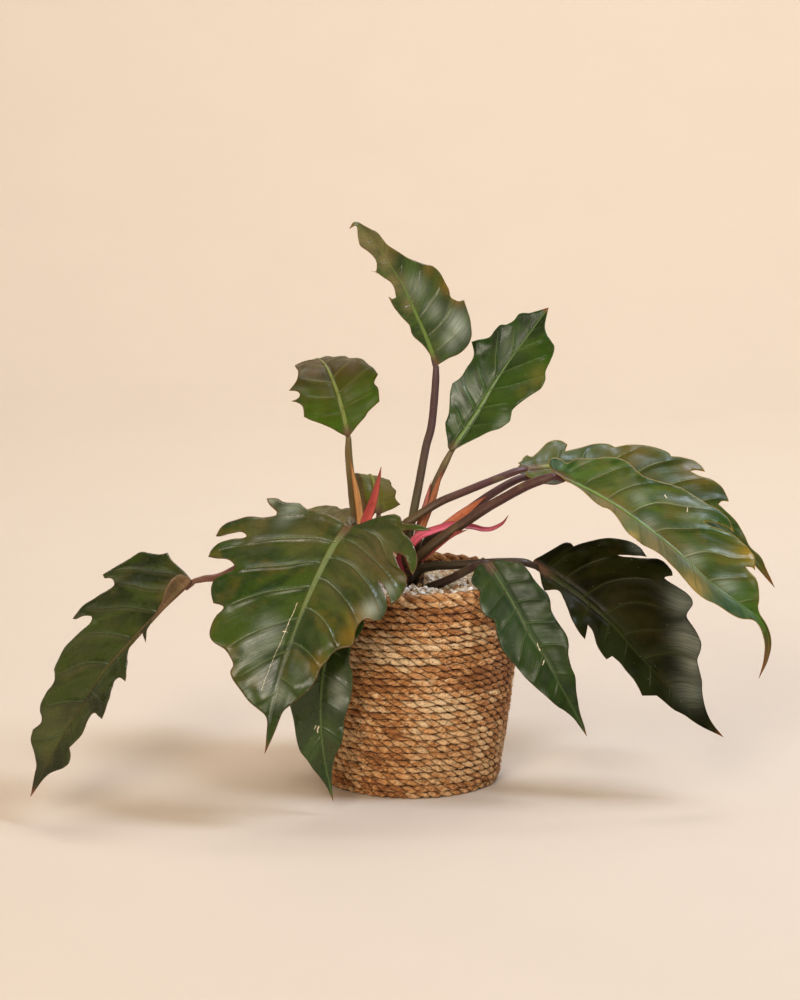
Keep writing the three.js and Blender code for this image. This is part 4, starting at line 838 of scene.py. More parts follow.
def leaf_skin(name, look, spacing, length):
    """The upper face: mottled green, thin veins with painted shade on one side, a paler midrib, tinted
    places, painted highlight spots and a thin red-brown margin.
    """
    s = Surface(name)
    rib = s.math("ABSOLUTE", s.value("across"))
    vein = s.value("vein")
    edge = s.value("edge")
    along = s.value("along")
    # clouds of the two greens, drawn out along the veins
    drift = s.stretched(s.value("across"), 0.022, vein, 1.1, look["relief"])
    mottle = s.noise(1.0, 3, 0.55, at=drift, distortion=0.6)
    colour = s.mix(s.rise(mottle, 0.38, 0.64), rgb(look["dark"]), rgb(look["light"]))
    cloud = s.noise(42, 3, 0.55)
    warm = s.times(s.rise(cloud, 0.5, 0.72), look.get("bronze", 0.45))
    colour = s.mix(warm, colour, rgb(look["warm"]))
    # a yellow cast over all of the greens
    colour = s.mix(1.0, colour, rgb("#fffac0"), blend="MULTIPLY")
    for key, (tint, _) in zip(("tint_a", "tint_b"), look["tints"]):
        amount = s.times(s.value(key), s.rise(mottle, 0.3, 0.65, 0.6, 1.15), clamp=True)
        colour = s.mix(amount, colour, rgb(tint))
    # fine lines that run beside the lateral veins
    run = s.stretched(rib, 0.05, vein, spacing * 0.75)
    lines = s.noise(1.0, 2, 0.6, at=run)
    colour = s.mix(s.rise(lines, 0.4, 0.66, 0.0, 0.3), colour, s.mix(0.5, colour, rgb("#0c1408")))
    # painted highlight: pale patches painted where light glints on the blade, broken up along the fine lines
    highlight_amount = s.times(s.value("painted_highlight"), s.rise(lines, 0.36, 0.64, 1.05, 0.6), clamp=True)
    colour = s.mix(highlight_amount, colour, rgb("#a9b3a4"))
    fold = s.minus(s.math("FRACT", s.plus(vein, 0.5)), 0.5)
    away = s.times(s.math("ABSOLUTE", fold), spacing)
    fade = s.rise(edge, 2.0, 18.0, 0.0, 1.0)
    pale = look.get("pale", 0.3)
    halo = s.times(s.rise(away, 0.5, 3.2, pale * 0.5, 0.0), fade)
    colour = s.mix(halo, colour, rgb(look["vein"]))
    core = s.times(s.rise(away, 0.25, 0.8, pale, 0.0), fade)
    colour = s.mix(core, colour, rgb(look["vein"]))
    wide = look.get("rib_wide", 1.5)
    width = s.plus(0.55, s.times(s.rise(along, 0.0, 0.75, 1.0, 0.0), wide))
    band = s.math("DIVIDE", rib, width)
    at = s.stretched(rib, 1.6, along, length / 26)
    streak = s.noise(1.0, 3, 0.6, at=at)
    dull = s.mix(0.45, rgb(look["rib"]), rgb(look["dark"]))
    ribs = s.mix(s.rise(streak, 0.35, 0.7), rgb(look["rib"]), dull)
    shown = s.rise(along, 0.25, 0.75, 1.0, look.get("rib_end", 0.3))
    shown = s.times(s.rise(band, 0.7, 1.2, 0.95, 0.0), shown)
    colour = s.mix(shown, colour, ribs)
    foot = s.times(s.rise(along, 0.015, 0.1, 0.9, 0.0), s.rise(rib, 1.5, 6.5, 1.0, 0.0))
    colour = s.mix(foot, colour, rgb("#5a4030"))
    # painted shade: a thin dark band along the far side of each vein crest
    vein_shade = s.rise(s.times(fold, spacing), 0.2, 2.6, 0.35, 0.0)
    vein_shade = s.times(vein_shade, s.math("GREATER_THAN", fold, 0.0))
    colour = s.mix(vein_shade, colour, s.mix(0.7, colour, rgb("#0a1006")))
    colour = s.mix(s.rise(edge, 0.25, 0.9, 0.8, 0.0), colour, rgb(look.get("rim", "#5f3a22")))
    colour = s.mix(s.rise(s.cells(190), 0.03, 0.055, 0.6, 0.0), colour, rgb("#c9c7ae"))
    tip = s.rise(along, look.get("tip", 0.95), 1.0, 0.0, 0.85)
    colour = s.mix(tip, colour, rgb("#7a4522"))
    for mark in look.get("scar", []):
        shown = scar(s, s.value("across"), s.times(along, length), *mark)
        colour = s.mix(shown, colour, rgb("#dccfb0"))
    base = s.plus(look["rough"] - 0.08, s.rise(s.noise(110, 2), 0.3, 0.75, -0.04, 0.08))
    rough = s.plus(base, s.rise(lines, 0.35, 0.65, 0.0, 0.06))
    if "matte" in look:
        rough = s.plus(rough, s.rise(s.value("across"), 0.0, 4.0, 0.0, look["matte"]))
    crease = s.bump(s.times(s.rise(away, 0.2, 1.5, 1.0, 0.0), fade), 0.0007, 0.8)
    fine = s.bump(lines, 0.00022, 0.6, below=crease)
    grain = s.bump(s.noise(900, 2, 0.6), 0.00005, 0.5, below=fine)
    return s.finish(colour, rough, grain, Specular_IOR_Level=look.get("gloss", 0.38))


def leaf_back(name, look, spacing):
    """The underside: duller and paler, with raised veins of a lighter tone."""
    s = Surface(name)
    rib = s.math("ABSOLUTE", s.value("across"))
    vein = s.value("vein")
    base = s.mix(0.45, rgb(look["under"]), rgb(look["light"]))
    colour = s.mix(s.rise(s.noise(40, 3), 0.3, 0.7), base, rgb(look["under"]))
    fold = s.minus(s.math("FRACT", s.plus(vein, 0.5)), 0.5)
    away = s.times(s.math("ABSOLUTE", fold), spacing)
    colour = s.mix(s.rise(away, 0.4, 1.8, 0.55, 0.0), colour, s.mix(0.4, rgb(look["under"]), rgb("#a08a5c")))
    run = s.stretched(rib, 0.05, vein, spacing * 0.75)
    lines = s.noise(1.0, 2, 0.6, at=run)
    colour = s.mix(s.rise(lines, 0.4, 0.65, 0.0, 0.25), colour, rgb(look["dark"]))
    colour = s.mix(s.rise(rib, 2.0, 4.0, 0.7, 0.0), colour, rgb("#6b4a30"))
    rough = s.rise(s.noise(90, 2), 0.3, 0.7, 0.46, 0.58)
    return s.finish(colour, rough, s.bump(lines, 0.0003, 0.6), Specular_IOR_Level=0.35)


def vein_field(x, y, length, look):
    """Which lateral vein a point is nearest: whole numbers are veins. They curve forward outwards."""
    count = look["veins"]
    # veins stand closer together near the foot of the blade
    power = 0.78
    ax = np.abs(x)
    slopes = look.get("slopes", [[0.85, 0.3], [0.35, 0.9]])
    start = np.where(x >= 0, slopes[0][0], slopes[1][0])
    gain = np.where(x >= 0, slopes[0][1], slopes[1][1])
    y0 = y.copy()
    # steps back along the vein to where it left the midrib
    for _ in range(14):
        u = np.clip(y0 / length, 0, 1)
        slope = look["forward"] * (0.3 + 0.75 * u + 0.6 * u * u)
        y0 = 0.5 * y0 + 0.5 * (y - slope * ax * (start + gain * ax / 60))
    # short of the first vein (mm) they are even, and behind the foot they fan round it
    around = np.degrees(np.arctan2(-y0, ax + 8))
    first = 14.0
    field = np.where(y0 >= first, count * np.clip(y0 / length, 1e-6, 2) ** power, 0)
    near = count * (first / length) ** power * y0 / first
    field = np.where(y0 < first, near, field)
    field = np.where(y0 < 0, -around / 26, field)
    return field + np.where(x < 0, 0.3, 0) * step(0, 0.9, ax)


def make_leaf(name, spec, look):
    """A thin two-sided blade with raised veins and midrib, laid in its place."""
    cell = 1.9
    flat, tris, loop, length = flat_leaf(spec, cell, [0.9, 1.8, 2.8, 3.9])
    x, y = flat[:, 0], flat[:, 1]
    ax = np.abs(x)
    u = np.clip(y / length, 0, 1)
    edge = distance_to(flat, loop)
    vein = vein_field(x, y, length, look)
    spacing = length / look["veins"]
    seed = sum(map(ord, name)) % 97
    # crests along the veins, steeper on the side towards the base, and shallow hollows between
    wander = 0.12 * value_noise(x / 30, y / 30, seed + 11)
    away = vein + wander - np.round(vein + wander)
    basal = away < 0
    ridge = np.where(basal, np.exp(away * 7.5), np.exp(-away * 20))
    half_vein = vein + wander + 0.5
    minor = half_vein - np.round(half_vein)
    fine_ridge = np.where(minor < 0, np.exp(minor * 9), np.exp(-minor * 18))
    room = step(0.5, 9, ax) * step(0, 11, edge)
    reach = 0.55 + 0.45 * step(5, 30, ax)
    relief = look["relief"] * (2.1 * ridge + 0.2 * fine_ridge - 0.6) * room * reach
    relief += 0.12 * value_noise(vein * spacing / 5, ax / 24, seed) * room
    relief += 1.3 * value_noise(x / 30, y / 30, seed + 5) * step(4, 30, ax)
    # the margin is ruffled
    ruffle = value_noise(x / 10 + 7, y / 10, seed + 9) + 0.8 * value_noise(x / 22, y / 22 + 3, seed + 2)
    relief += 1.2 * ruffle * (1 - step(0, 15, edge)) * step(4, 16, ax)
    # the midrib stands up, with a shallow groove on each side
    half = 0.7 + (look.get("rib_wide", 1.5) + 0.3) * (1 - step(0, 0.75, u))
    bar = np.clip(1 - (ax / half) ** 2, 0, 1)
    relief += (0.75 - 0.5 * u) * np.sqrt(bar) * step(-4, 6, y)
    relief -= 0.8 * (1 - 0.6 * u) * np.exp(-((ax - half * 1.4) / 2.0) ** 2) * step(0, 4, edge)
    relief *= step(-1, 4, length - y)
    # thin at the margin, with a keel under the midrib and a lesser one under each vein
    thin = 0.35 + 0.55 * step(0, 3, edge)
    keel = (2.6 * (1 - u) ** 0.8 + 0.3) * np.exp(-(ax / (1.3 + 2.2 * (1 - u))) ** 2) * step(0, 4, edge)
    vein_keel = 0.5 * np.exp(-(away * spacing / 1.1) ** 2) * step(2, 8, ax) * step(2, 12, edge)
    fr = leaf_frame(spec)
    top = leaf_points(fr, x, y, relief)
    low = leaf_points(fr, x, y, relief - thin - keel - vein_keel)
    faces, upper = two_sided(tris)
    # soft round spots of the two tints and of the painted highlight
    tint = []
    for _, blobs in look["tints"] + [["", look.get("painted_highlight", [])]]:
        amount = np.zeros(len(x))
        for bx, by, radius, strength in blobs:
            away_2 = ((x - bx) ** 2 + ((y - by) * 0.8) ** 2) / radius ** 2
            amount = np.maximum(amount, strength * np.exp(-away_2))
        tint.append(amount)
    values = {"across": x, "along": u, "edge": edge, "vein": vein + wander}
    values.update(zip(("tint_a", "tint_b", "painted_highlight"), tint))
    values = {key: np.concatenate([v, v]) for key, v in values.items()}
    slots = np.concatenate([np.zeros(upper), np.ones(upper), np.zeros(len(faces) - 2 * upper)])
    skin = leaf_skin("leaf_upper_" + name, look, spacing, length)
    back = leaf_back("leaf_under_" + name, look, spacing)
    return piece("blade_" + name, np.vstack([top, low]), faces, [skin, back], values, slots,
                 node="leaf_" + name)


def scar(s, across, ahead, x0, y0, x1, y1, wide):
    """A healed scratch from one flat point to another: 1 on it, 0 off it."""
    span = math.hypot(x1 - x0, y1 - y0)
    dx = (x1 - x0) / span
    dy = (y1 - y0) / span
    off_x = s.minus(across, x0)
    off_y = s.minus(ahead, y0)
    run = s.plus(s.times(off_x, dx), s.times(off_y, dy))
    side = s.minus(s.times(off_x, dy), s.times(off_y, dx))
    side = s.plus(side, s.rise(s.noise(90, 3, 0.7), 0.3, 0.7, -wide, wide))
    past = s.math("MAXIMUM", s.times(run, -1.0), s.minus(run, span))
    past = s.math("MAXIMUM", past, 0.0)
    away = s.math("SQRT", s.plus(s.times(side, side), s.times(past, past)))
    away = s.plus(away, s.rise(s.noise(500, 2), 0.3, 0.7, -0.3 * wide, 0.5 * wide))
    return s.rise(away, wide * 0.5, wide, 0.95, 0.0)


# Stalks

def turns(sides):
    """Even angles round a circle."""
    return np.arange(sides) / sides * 2 * np.pi


def tube(path, radii, sides):
    """The points of round rings along a path."""
    p = np.asarray(path, float)
    n = len(p)
    index = np.arange(n)
    t = unit(p[np.minimum(index + 1, n - 1)] - p[np.maximum(index - 1, 0)])
    u = unit(np.cross(np.array([0, -1, 0.35]), t))
    w = np.cross(t, u)
    a = turns(sides)
    r = np.asarray(radii, float)
    if r.ndim == 1:
        r = np.repeat(r[:, None], sides, 1)
    out = u[:, None, :] * (r * np.cos(a))[:, :, None]
    ring = p[:, None, :] + out + w[:, None, :] * (r * np.sin(a))[:, :, None]
    return ring.reshape(-1, 3)


def grid_faces(rows, sides, closed=False, capped=True):
    """Quads between rings, with a flat face over each open end."""
    i = np.arange(rows if closed else rows - 1)
    k = np.arange(sides)
    i, k = [g.ravel() for g in np.meshgrid(i, k, indexing="ij")]
    j = (i + 1) % rows
    m = (k + 1) % sides
    faces = np.stack([i * sides + k, i * sides + m, j * sides + m, j * sides + k], 1).tolist()
    if capped and not closed:
        faces.append(list(range(sides))[::-1])
        faces.append([(rows - 1) * sides + q for q in range(sides)])
    return faces


# Colours of each stalk at the foot and under the blade
STALKS = {
    "far_left": ["#5a3a30", "#7d5548"], "front_left": ["#4a3030", "#4a4428"],
    "front_small": ["#44302a", "#564434"], "upright_left": ["#5a4a32", "#6e6038"],
    "tall": ["#5f5d40", "#523c3e"], "upright_right": ["#5a4a30", "#6a5a3c"],
    "arch_front": ["#4a3a1b", "#50302e"], "arch_back": ["#55471f", "#573634"],
    "arch_rear": ["#3f321e", "#5a3836"], "low_right": ["#2e2812", "#3a2c1c"],
    "front_right": ["#2a220f", "#42302c"], "back": ["#4a3a26", "#5c4c30"],
    "back_left": ["#463624", "#5a4a2e"],
}


def stalk_skin(name, base, upper):
    """Purple-brown skin with fine lengthwise streaks and pale flecks."""
    s = Surface(name)
    run = s.value("run")
    turn = s.value("turn")
    along = s.value("along")
    streak = s.noise(1.0, 3, 0.6, at=s.stretched(run, 0.04, turn, 2.6, 3.0))
    colour = s.mix(s.rise(along, 0.1, 0.8), rgb(base), rgb(upper))
    colour = s.mix(s.rise(streak, 0.3, 0.7, 0.0, 0.65), colour, s.mix(0.6, colour, rgb("#1c100c")))
    blotch = s.noise(60, 2)
    colour = s.mix(s.rise(blotch, 0.55, 0.8, 0.0, 0.5), colour, rgb("#6a6038"))
    fleck = s.cells(1.0, at=s.stretched(run, 0.35, turn, 2.2, 1.0))
    colour = s.mix(s.rise(fleck, 0.08, 0.16, 0.55, 0.0), colour, rgb("#9a8a70"))
    rough = s.rise(streak, 0.3, 0.7, 0.34, 0.5)
    return s.finish(colour, rough, s.bump(streak, 0.0005, 0.7), Specular_IOR_Level=0.32)


def make_stalk(name, spec):
    """A stalk that tapers into the underside of its leaf along the midrib."""
    spacing = 2.0
    path = evenly(smooth_path(spec["path"], 200), spacing)
    fr = leaf_frame(LEAVES[name])
    steps = np.arange(1, 8) * 1.6
    tip = spec["radius"][1]
    under = leaf_points(fr, np.zeros(len(steps)), steps - 1.5, -tip * (0.55 + 0.3 * steps / steps[-1]))
    u = np.concatenate([np.linspace(0, 1, len(path)), np.ones(len(steps))])
    taper = np.concatenate([np.ones(len(path)), 1 - 0.75 * (steps / steps[-1]) ** 1.3])
    path = np.vstack([path, under])
    n = len(path)
    path[1:-1] = (path[:-2] + 2 * path[1:-1] + path[2:]) / 4
    sides = 18
    r = np.interp(u, [0, 1], spec["radius"]) * taper
    left = (n - len(steps) - np.arange(n)) * spacing
    near_end = 1 - step(0, 16, np.maximum(left, 0))
    path -= fr["n"][0] * (0.3 * tip * near_end)[:, None]
    r = r * (1 - 0.22 * near_end)
    run = np.arange(n) * spacing
    # wider at the foot, where it clasps the crown, and swollen again under the blade
    r = r + 1.0 * np.exp(-run / 9) + 0.35 * np.exp(-((run - run[-1]) / 8) ** 2)
    r = r * (1 + 0.035 * value_noise(run / 11, run * 0 + 2.5, len(name)))
    a = turns(sides)
    # a shallow channel along the upper side
    groove = np.exp(-(((a - 1.2 + np.pi) % (2 * np.pi) - np.pi) / 0.45) ** 2)
    rings = r[:, None] * (1 - 0.16 * groove[None, :] * step(6, 30, run)[:, None])
    pts = tube(path, rings, sides)
    values = {"run": np.repeat(run, sides), "turn": np.tile(np.abs(a - np.pi), n),
              "along": np.repeat(u, sides)}
    base, upper = STALKS[name]
    skin = stalk_skin("stalk_" + name, base, upper)
    return piece("stalk_" + name, pts, grid_faces(n, sides), [skin], values,
                 node="petiole_" + name)


# Sheaths and scales

# Colours of each sheath and scale: two that it is streaked with, and the dried edge
SHEATH_LOOKS = {
    "scale_spike": ["#b03a38", "#d4665a", "#7a2a1c"],
    "scale_curled": ["#c03c52", "#e06c7c", "#84282c"],
    "scale_under_arch": ["#b23a48", "#d06a5c", "#7a2420"],
    "scale_crown": ["#8c2430", "#b8444c", "#4c1418"],
    "sheath_upright_left": ["#b5773f", "#d8a868", "#7a4a24"],
    "sheath_upright_right": ["#a05a34", "#c07a4c", "#6a3a22"],
    "sheath_upright_right_low": ["#b0605a", "#cc8478", "#7a3c34"],
    "sheath_arch_rear": ["#b85a34", "#da8454", "#8a4424"],
}


def sheath_skin(name, colours):
    """Papery skin with fine parallel lines along its length, darker at the dried edge and tip."""
    s = Surface(name)
    across = s.value("across")
    along = s.value("along")
    lines = s.noise(1.0, 3, 0.6, at=s.stretched(across, 1.7, along, 2.5, 5.0))
    colour = s.mix(s.rise(lines, 0.3, 0.7), rgb(colours[0]), rgb(colours[1]))
    dry = s.math("MAXIMUM", s.rise(s.value("edge"), 0.2, 1.2, 0.8, 0.0), s.rise(along, 0.8, 1.0, 0.0, 0.7))
    colour = s.mix(s.rise(along, 0.45, 0.85, 0.0, 0.6), colour, s.mix(0.5, colour, rgb(colours[2])))
    colour = s.mix(dry, colour, rgb(colours[2]))
    colour = s.mix(s.rise(s.noise(120, 3), 0.55, 0.75, 0.0, 0.5), colour, rgb(colours[2]))
    rough = s.rise(lines, 0.3, 0.7, 0.36, 0.52)
    return s.finish(colour, rough, s.bump(lines, 0.0005, 0.8), Specular_IOR_Level=0.45)


def make_sheath(name, shape):
    """A narrow folded skin, thicker along its middle."""
    fr = leaf_frame({"rib": shape["rib"], "face": [shape["face"]] * 2})
    length = fr["length"]
    half = [[w, i / (len(shape["half"]) - 1) * length] for i, w in enumerate(shape["half"])]
    side = [[0, 0], [half[0][0], 0.5], *half[1:-1], [0, length, 1]]
    spec = {"rib": shape["rib"], "face": [shape["face"]] * 2, "right": side, "left": side,
            "fold": {"right": [shape["fold"]] * 2, "left": [shape["fold"]] * 2},
            "bend": {"right": [0, 0], "left": [0, 0]}}
    fr["spec"] = spec
    flat, tris, loop, length = flat_leaf(spec, 0.9, [])
    x, y = flat[:, 0], flat[:, 1]
    edge = distance_to(flat, loop)
    seed = sum(map(ord, name)) % 97
    lift = 0.25 * value_noise(x / 1.5, y / 14, seed)
    lift = lift + 0.5 * value_noise(x / 6, y / 9, seed + 3) * step(1, 4, np.abs(x))
    # the midline is rounded off, so the folded shape reads as one curled skin
    lift -= np.sign(shape["fold"]) * -0.9 * np.exp(-(x / 2.2) ** 2)
    top = leaf_points(fr, x, y, lift * step(-0.5, 2, edge))
    low = leaf_points(fr, x, y, lift * step(-0.5, 2, edge) - 0.35 - 0.5 * step(0, 2, edge))
    faces, _ = two_sided(tris)
    values = {"across": x, "along": y / length, "edge": edge}
    values = {key: np.concatenate([v, v]) for key, v in values.items()}
    skin = sheath_skin("skin_" + name, SHEATH_LOOKS[name])
    return piece("skin_" + name, np.vstack([top, low]), faces, [skin], values, node=name)


# Crowns

def crown_skin():
    """Brown, ringed and fibrous."""
    s = Surface("crown_bark")
    ring = s.value("height")
    turn = s.value("turn")
    fibre = s.noise(1.0, 4, 0.65, at=s.stretched(turn, 5.0, ring, 0.12, 0.0))
    rings = s.noise(1.0, 2, 0.5, at=s.stretched(turn, 0.6, ring, 0.5, 4.0))
    colour = s.ramp(fibre, [(0.3, "#20120b"), (0.5, "#4a2c1a"), (0.68, "#7c5430")])
    colour = s.mix(s.rise(rings, 0.5, 0.7, 0.0, 0.6), colour, rgb("#8a6a44"))
    colour = s.mix(s.rise(ring, 204, 222, 0.0, 0.6), colour, rgb("#5a3a2c"))
    height = s.plus(fibre, rings)
    return s.finish(colour, s.rise(fibre, 0.3, 0.7, 0.55, 0.75), s.bump(height, 0.0012, 0.9))


def make_crown(name, spec, skin):
    """A ringed, slightly knobbly stem base."""
    profile = np.array(spec["profile"], float)
    z = np.arange(profile[0, 0], profile[-1, 0] + 0.5, 1.0)
    r = np.interp(z, profile[:, 0], profile[:, 1])
    sides = 40
    a = turns(sides)
    zz, aa = np.meshgrid(z, a, indexing="ij")
    rr = r[:, None] * (1 + 0.05 * np.abs(np.sin(zz / 3.4 + 0.6 * np.sin(aa * 2))) - 0.03)
    rr = rr + 0.5 * value_noise(aa * 6, zz / 7, 11)
    cx, cy = spec["at"]
    pts = np.stack([cx + rr * np.cos(aa), cy + rr * np.sin(aa), zz], 2).reshape(-1, 3)
    values = {"height": zz.ravel(), "turn": np.abs(aa.ravel() - np.pi)}
    return piece("bark_" + name, pts, grid_faces(len(z), sides), [skin], values, node=name)


# Rope basket

PLIES = 2
# how much higher than wide a strand is, so that rows press against each other
STRAND_HEIGHT = 1.24
LOWEST_ROW = 3.75


def rope_skin(name, low, mid, high, deep):
    """Twisted plant fibre: long fibres of several tones, with painted shade where a strand dips under the
    next and along the creases between plies.
    """
    s = Surface(name)
    run = s.value("run")
    turn = s.value("turn")
    tone = s.value("tone")
    broad = s.noise(1.0, 3, 0.6, at=s.stretched(run, 0.09, turn, 0.9, tone))
    fibre = s.noise(1.0, 4, 0.7, at=s.stretched(run, 0.17, turn, 2.6, tone))
    shade = s.plus(s.times(fibre, 0.5), s.times(broad, 0.5))
    shade = s.plus(shade, s.times(s.minus(s.value("light"), 0.5), 0.2))
    shade = s.plus(shade, s.rise(s.noise(13, 2), 0.3, 0.7, -0.1, 0.08))
    colour = s.ramp(shade, [(0.39, low), (0.5, mid), (0.6, high)])
    hair = s.noise(1.0, 3, 0.8, at=s.stretched(run, 0.35, turn, 3.6, tone))
    colour = s.mix(s.rise(hair, 0.54, 0.62, 0.0, 0.85), colour, rgb("#482510"))
    colour = s.mix(s.rise(hair, 0.3, 0.42, 0.5, 0.0), colour, rgb("#fbdcaa"))
    # painted shade in the line between two rows, which comes and goes
    gap_shade = s.noise(1.0, 2, 0.5, at=s.vector(s.times(run, 0.075), tone, tone))
    gap_shade = s.times(s.rise(s.value("crevice_shade"), 0.25, 0.85, 0.0, 1.0), s.rise(gap_shade, 0.38, 0.58, 0.3, 1.0))
    colour = s.mix(gap_shade, colour, rgb(deep))
    # painted shade along the crease where the two plies meet
    crease = s.rise(s.value("side"), 1.04, 1.52, 1.0, 0.0)
    colour = s.mix(s.times(crease, s.rise(broad, 0.3, 0.6, 1.0, 0.55)), colour, rgb(deep))
    height = s.plus(fibre, s.times(hair, 0.8))
    height = s.minus(height, s.times(crease, 0.8))
    rough = s.rise(fibre, 0.3, 0.7, 0.5, 0.75)
    return s.finish(colour, rough, s.bump(height, 0.0022, 1.0), Specular_IOR_Level=0.35)


def strand(radius, z, reach, thick, lumps, phase, seed, steps, sides, shade=1.0):
    """Strands twisted round a level ring of rope: points and values for each."""
    theta = turns(steps)
    made = []
    cx, cy = np.cos(theta), np.sin(theta)
    sway = value_noise(cx * 6, cy * 6, seed)
    lift = value_noise(cx * 5 + 9, cy * 5, seed + 1)
    # whole groups of rows sag and rise together
    sag = 1.8 * math.sin(math.pi * z / BASKET_HEIGHT) * value_noise(cx * 1.3, cy * 1.3, 501)
    a = turns(sides)
    for ply in range(PLIES):
        # the twist isn't quite even along the ring
        uneven = 0.8 * value_noise(cx * 8, cy * 8, seed + 2)
        psi = -theta * lumps / PLIES + phase + ply * 2 * np.pi / PLIES + uneven
        centre = radius + reach * np.cos(psi) + 0.35 * sway
        level = z + 0.6 * lift + sag
        height = level + reach * 1.1 * np.sin(psi)
        # each lump has its own thickness and tone
        lump = np.floor((psi + np.pi) / (2 * np.pi))
        own = lattice(lump, ply * 3.0, seed + 4)
        small = 0.08 * value_noise(cx * 30, cy * 30, seed + 3)
        fat = thick * (1 + 0.1 * own * np.cos(psi / 2) ** 2 + small)
        turn = a[None, :] + 0.6 * psi[:, None]
        down = 3 * np.sin(turn) + theta[:, None] * 6
        rough = 0.09 * value_noise(3 * np.cos(turn) + ply * 7, down, seed + 6)
        r = centre[:, None] + fat[:, None] * (1 + rough) * np.cos(a)
        up = fat[:, None] * (1 + rough) * STRAND_HEIGHT * np.sin(a)
        # the lowest row is pressed flat where it stands
        tall = np.maximum(height[:, None] + up, 0.1)
        pts = np.stack([r * cx[:, None], r * cy[:, None], tall], 2).reshape(-1, 3)
        # how deep in the rope each point lies and how far into the gap between rows: these set the painted
        # shade
        deep = 1 - (r - radius + reach + thick) / (2 * (reach + thick))
        crevice = np.abs(tall - level[:, None]) / (1.39 * thick)
        hidden = np.maximum(deep * 1.7 - 0.3, (crevice - 0.82) * 4)
        # angle away from the side that lies against the other strand, which sets the painted shade in the
        # crease
        side = (a[None, :] - psi[:, None] - np.pi) / (2 * np.pi)
        side = np.abs(side - np.round(side)) * 2 * np.pi
        made.append({
            "points": pts,
            "crevice_shade": np.clip(shade * hidden, 0, 1).ravel(),
            "run": np.repeat(theta * radius, sides),
            "turn": np.tile(a, steps) + np.repeat(psi, sides),
            "side": side.ravel(),
            "tone": np.repeat(seed * 1.37 + ply * 0.61 + 0.4 * own, sides),
            "light": np.repeat(0.5 + 0.4 * own + 0.35 * lattice(seed, 5.0, 1), sides),
        })
    return made


def join_rings(name, rings, sides, skin):
    """Many closed rings as one piece."""
    points, faces = [], []
    values = {key: [] for key in ("crevice_shade", "run", "turn", "side", "tone", "light")}
    start = 0
    for ring in rings:
        rows = len(ring["points"]) // sides
        points.append(ring["points"])
        faces.append(np.array(grid_faces(rows, sides, closed=True)) + start)
        start += len(ring["points"])
        for key in values:
            values[key].append(ring[key])
    values = {key: np.concatenate(v) for key, v in values.items()}
    # the turn is folded, so that no seam shows where a full turn ends
    values["turn"] = np.abs((values["turn"] / np.pi) % 2 - 1) * np.pi
    return piece(name, np.vstack(points), np.vstack(faces), [skin], values, node="basket")


def make_basket():
    """The rows of rope, the rim, the floor and a dark sheet of painted shade behind the rope."""
    pitch = BASKET_HEIGHT / ROPE_ROWS
    straw = rope_skin("rope_straw", "#b37540", "#eeae6c", "#ffdead", "#3c1a08")
    # a darker copy of the same straw rope, as painted shade, for the lower rows, the rim and the underside
    shaded_straw = rope_skin("rope_shaded", "#a56a38", "#e2a262", "#fbd29c", "#381807")
    rng = np.random.default_rng(4)
    sides = 7
    steps = 380
    groups = {"rope_low": [], "rope_middle": [], "rope_upper": []}
    for row in range(ROPE_ROWS - 1):
        z = (row + 0.5) * pitch
        outer = radius_at(z)
        lumps = 2 * round(math.pi * outer / 13.0 + rng.uniform(-4, 4))
        key = "rope_low" if row < 10 else "rope_middle" if row < 20 else "rope_upper"
        phase = rng.uniform(0, 6.28)
        groups[key] += strand(outer - 3.45, max(z, LOWEST_ROW), 1.3, 2.4, lumps, phase, row, steps, sides)
    for key, skin in (("rope_low", shaded_straw), ("rope_middle", straw), ("rope_upper", straw)):
        join_rings(key, groups[key], sides, skin)
    # rim: a fatter row of longer lumps, in the darker painted-shade copy of the rope, with weaker crevice
    # shade
    z = BASKET_HEIGHT - 4.1
    rim_sides = 10
    rim = strand(radius_at(z) - 4.0, z, 1.5, 2.5, 48, 1.0, 77, steps, rim_sides, shade=0.4)
    join_rings("rope_rim", rim, rim_sides, shaded_straw)
    # underside: flat rings of thinner rope
    under = []
    radius = radius_at(0) - 8
    row = 0
    while radius > 4:
        lumps = max(4, 2 * round(math.pi * radius / 15))
        around = max(16, int(steps * radius / 90))
        under += strand(radius, 3.0, 1.1, 1.75, lumps, row, 40 + row, around, sides)
        radius -= pitch
        row += 1
    join_rings("rope_floor", under, sides, shaded_straw)
    # a thin dark sheet behind the rope, painted shade that keeps light from showing between its strands
    zs = np.concatenate([[4.5], np.arange(8, 196, 6.0), [196.5]])
    line = [[radius_at(z) - 2.9, z] for z in zs] + [[radius_at(z) - 4.8, z] for z in zs[::-1]]
    line = np.array(line + [[0, 5.6], [0, 4.6]])
    segments = 72
    a = turns(segments)
    ring = np.maximum(line[:, 0], 0.3)[:, None]
    pts = np.stack([ring * np.cos(a), ring * np.sin(a), np.repeat(line[:, 1:], segments, 1)], 2)
    faces = grid_faces(len(line), segments, closed=True)
    shade_sheet = Surface("rope_shadow")
    weave = shade_sheet.noise(600, 3, 0.6)
    colour = shade_sheet.ramp(weave, [(0.3, "#2c180c"), (0.7, "#55351c")])
    skin = shade_sheet.finish(colour, 0.9, shade_sheet.bump(weave, 0.0008))
    piece("rope_shade_sheet", pts.reshape(-1, 3), faces, [skin], node="basket")


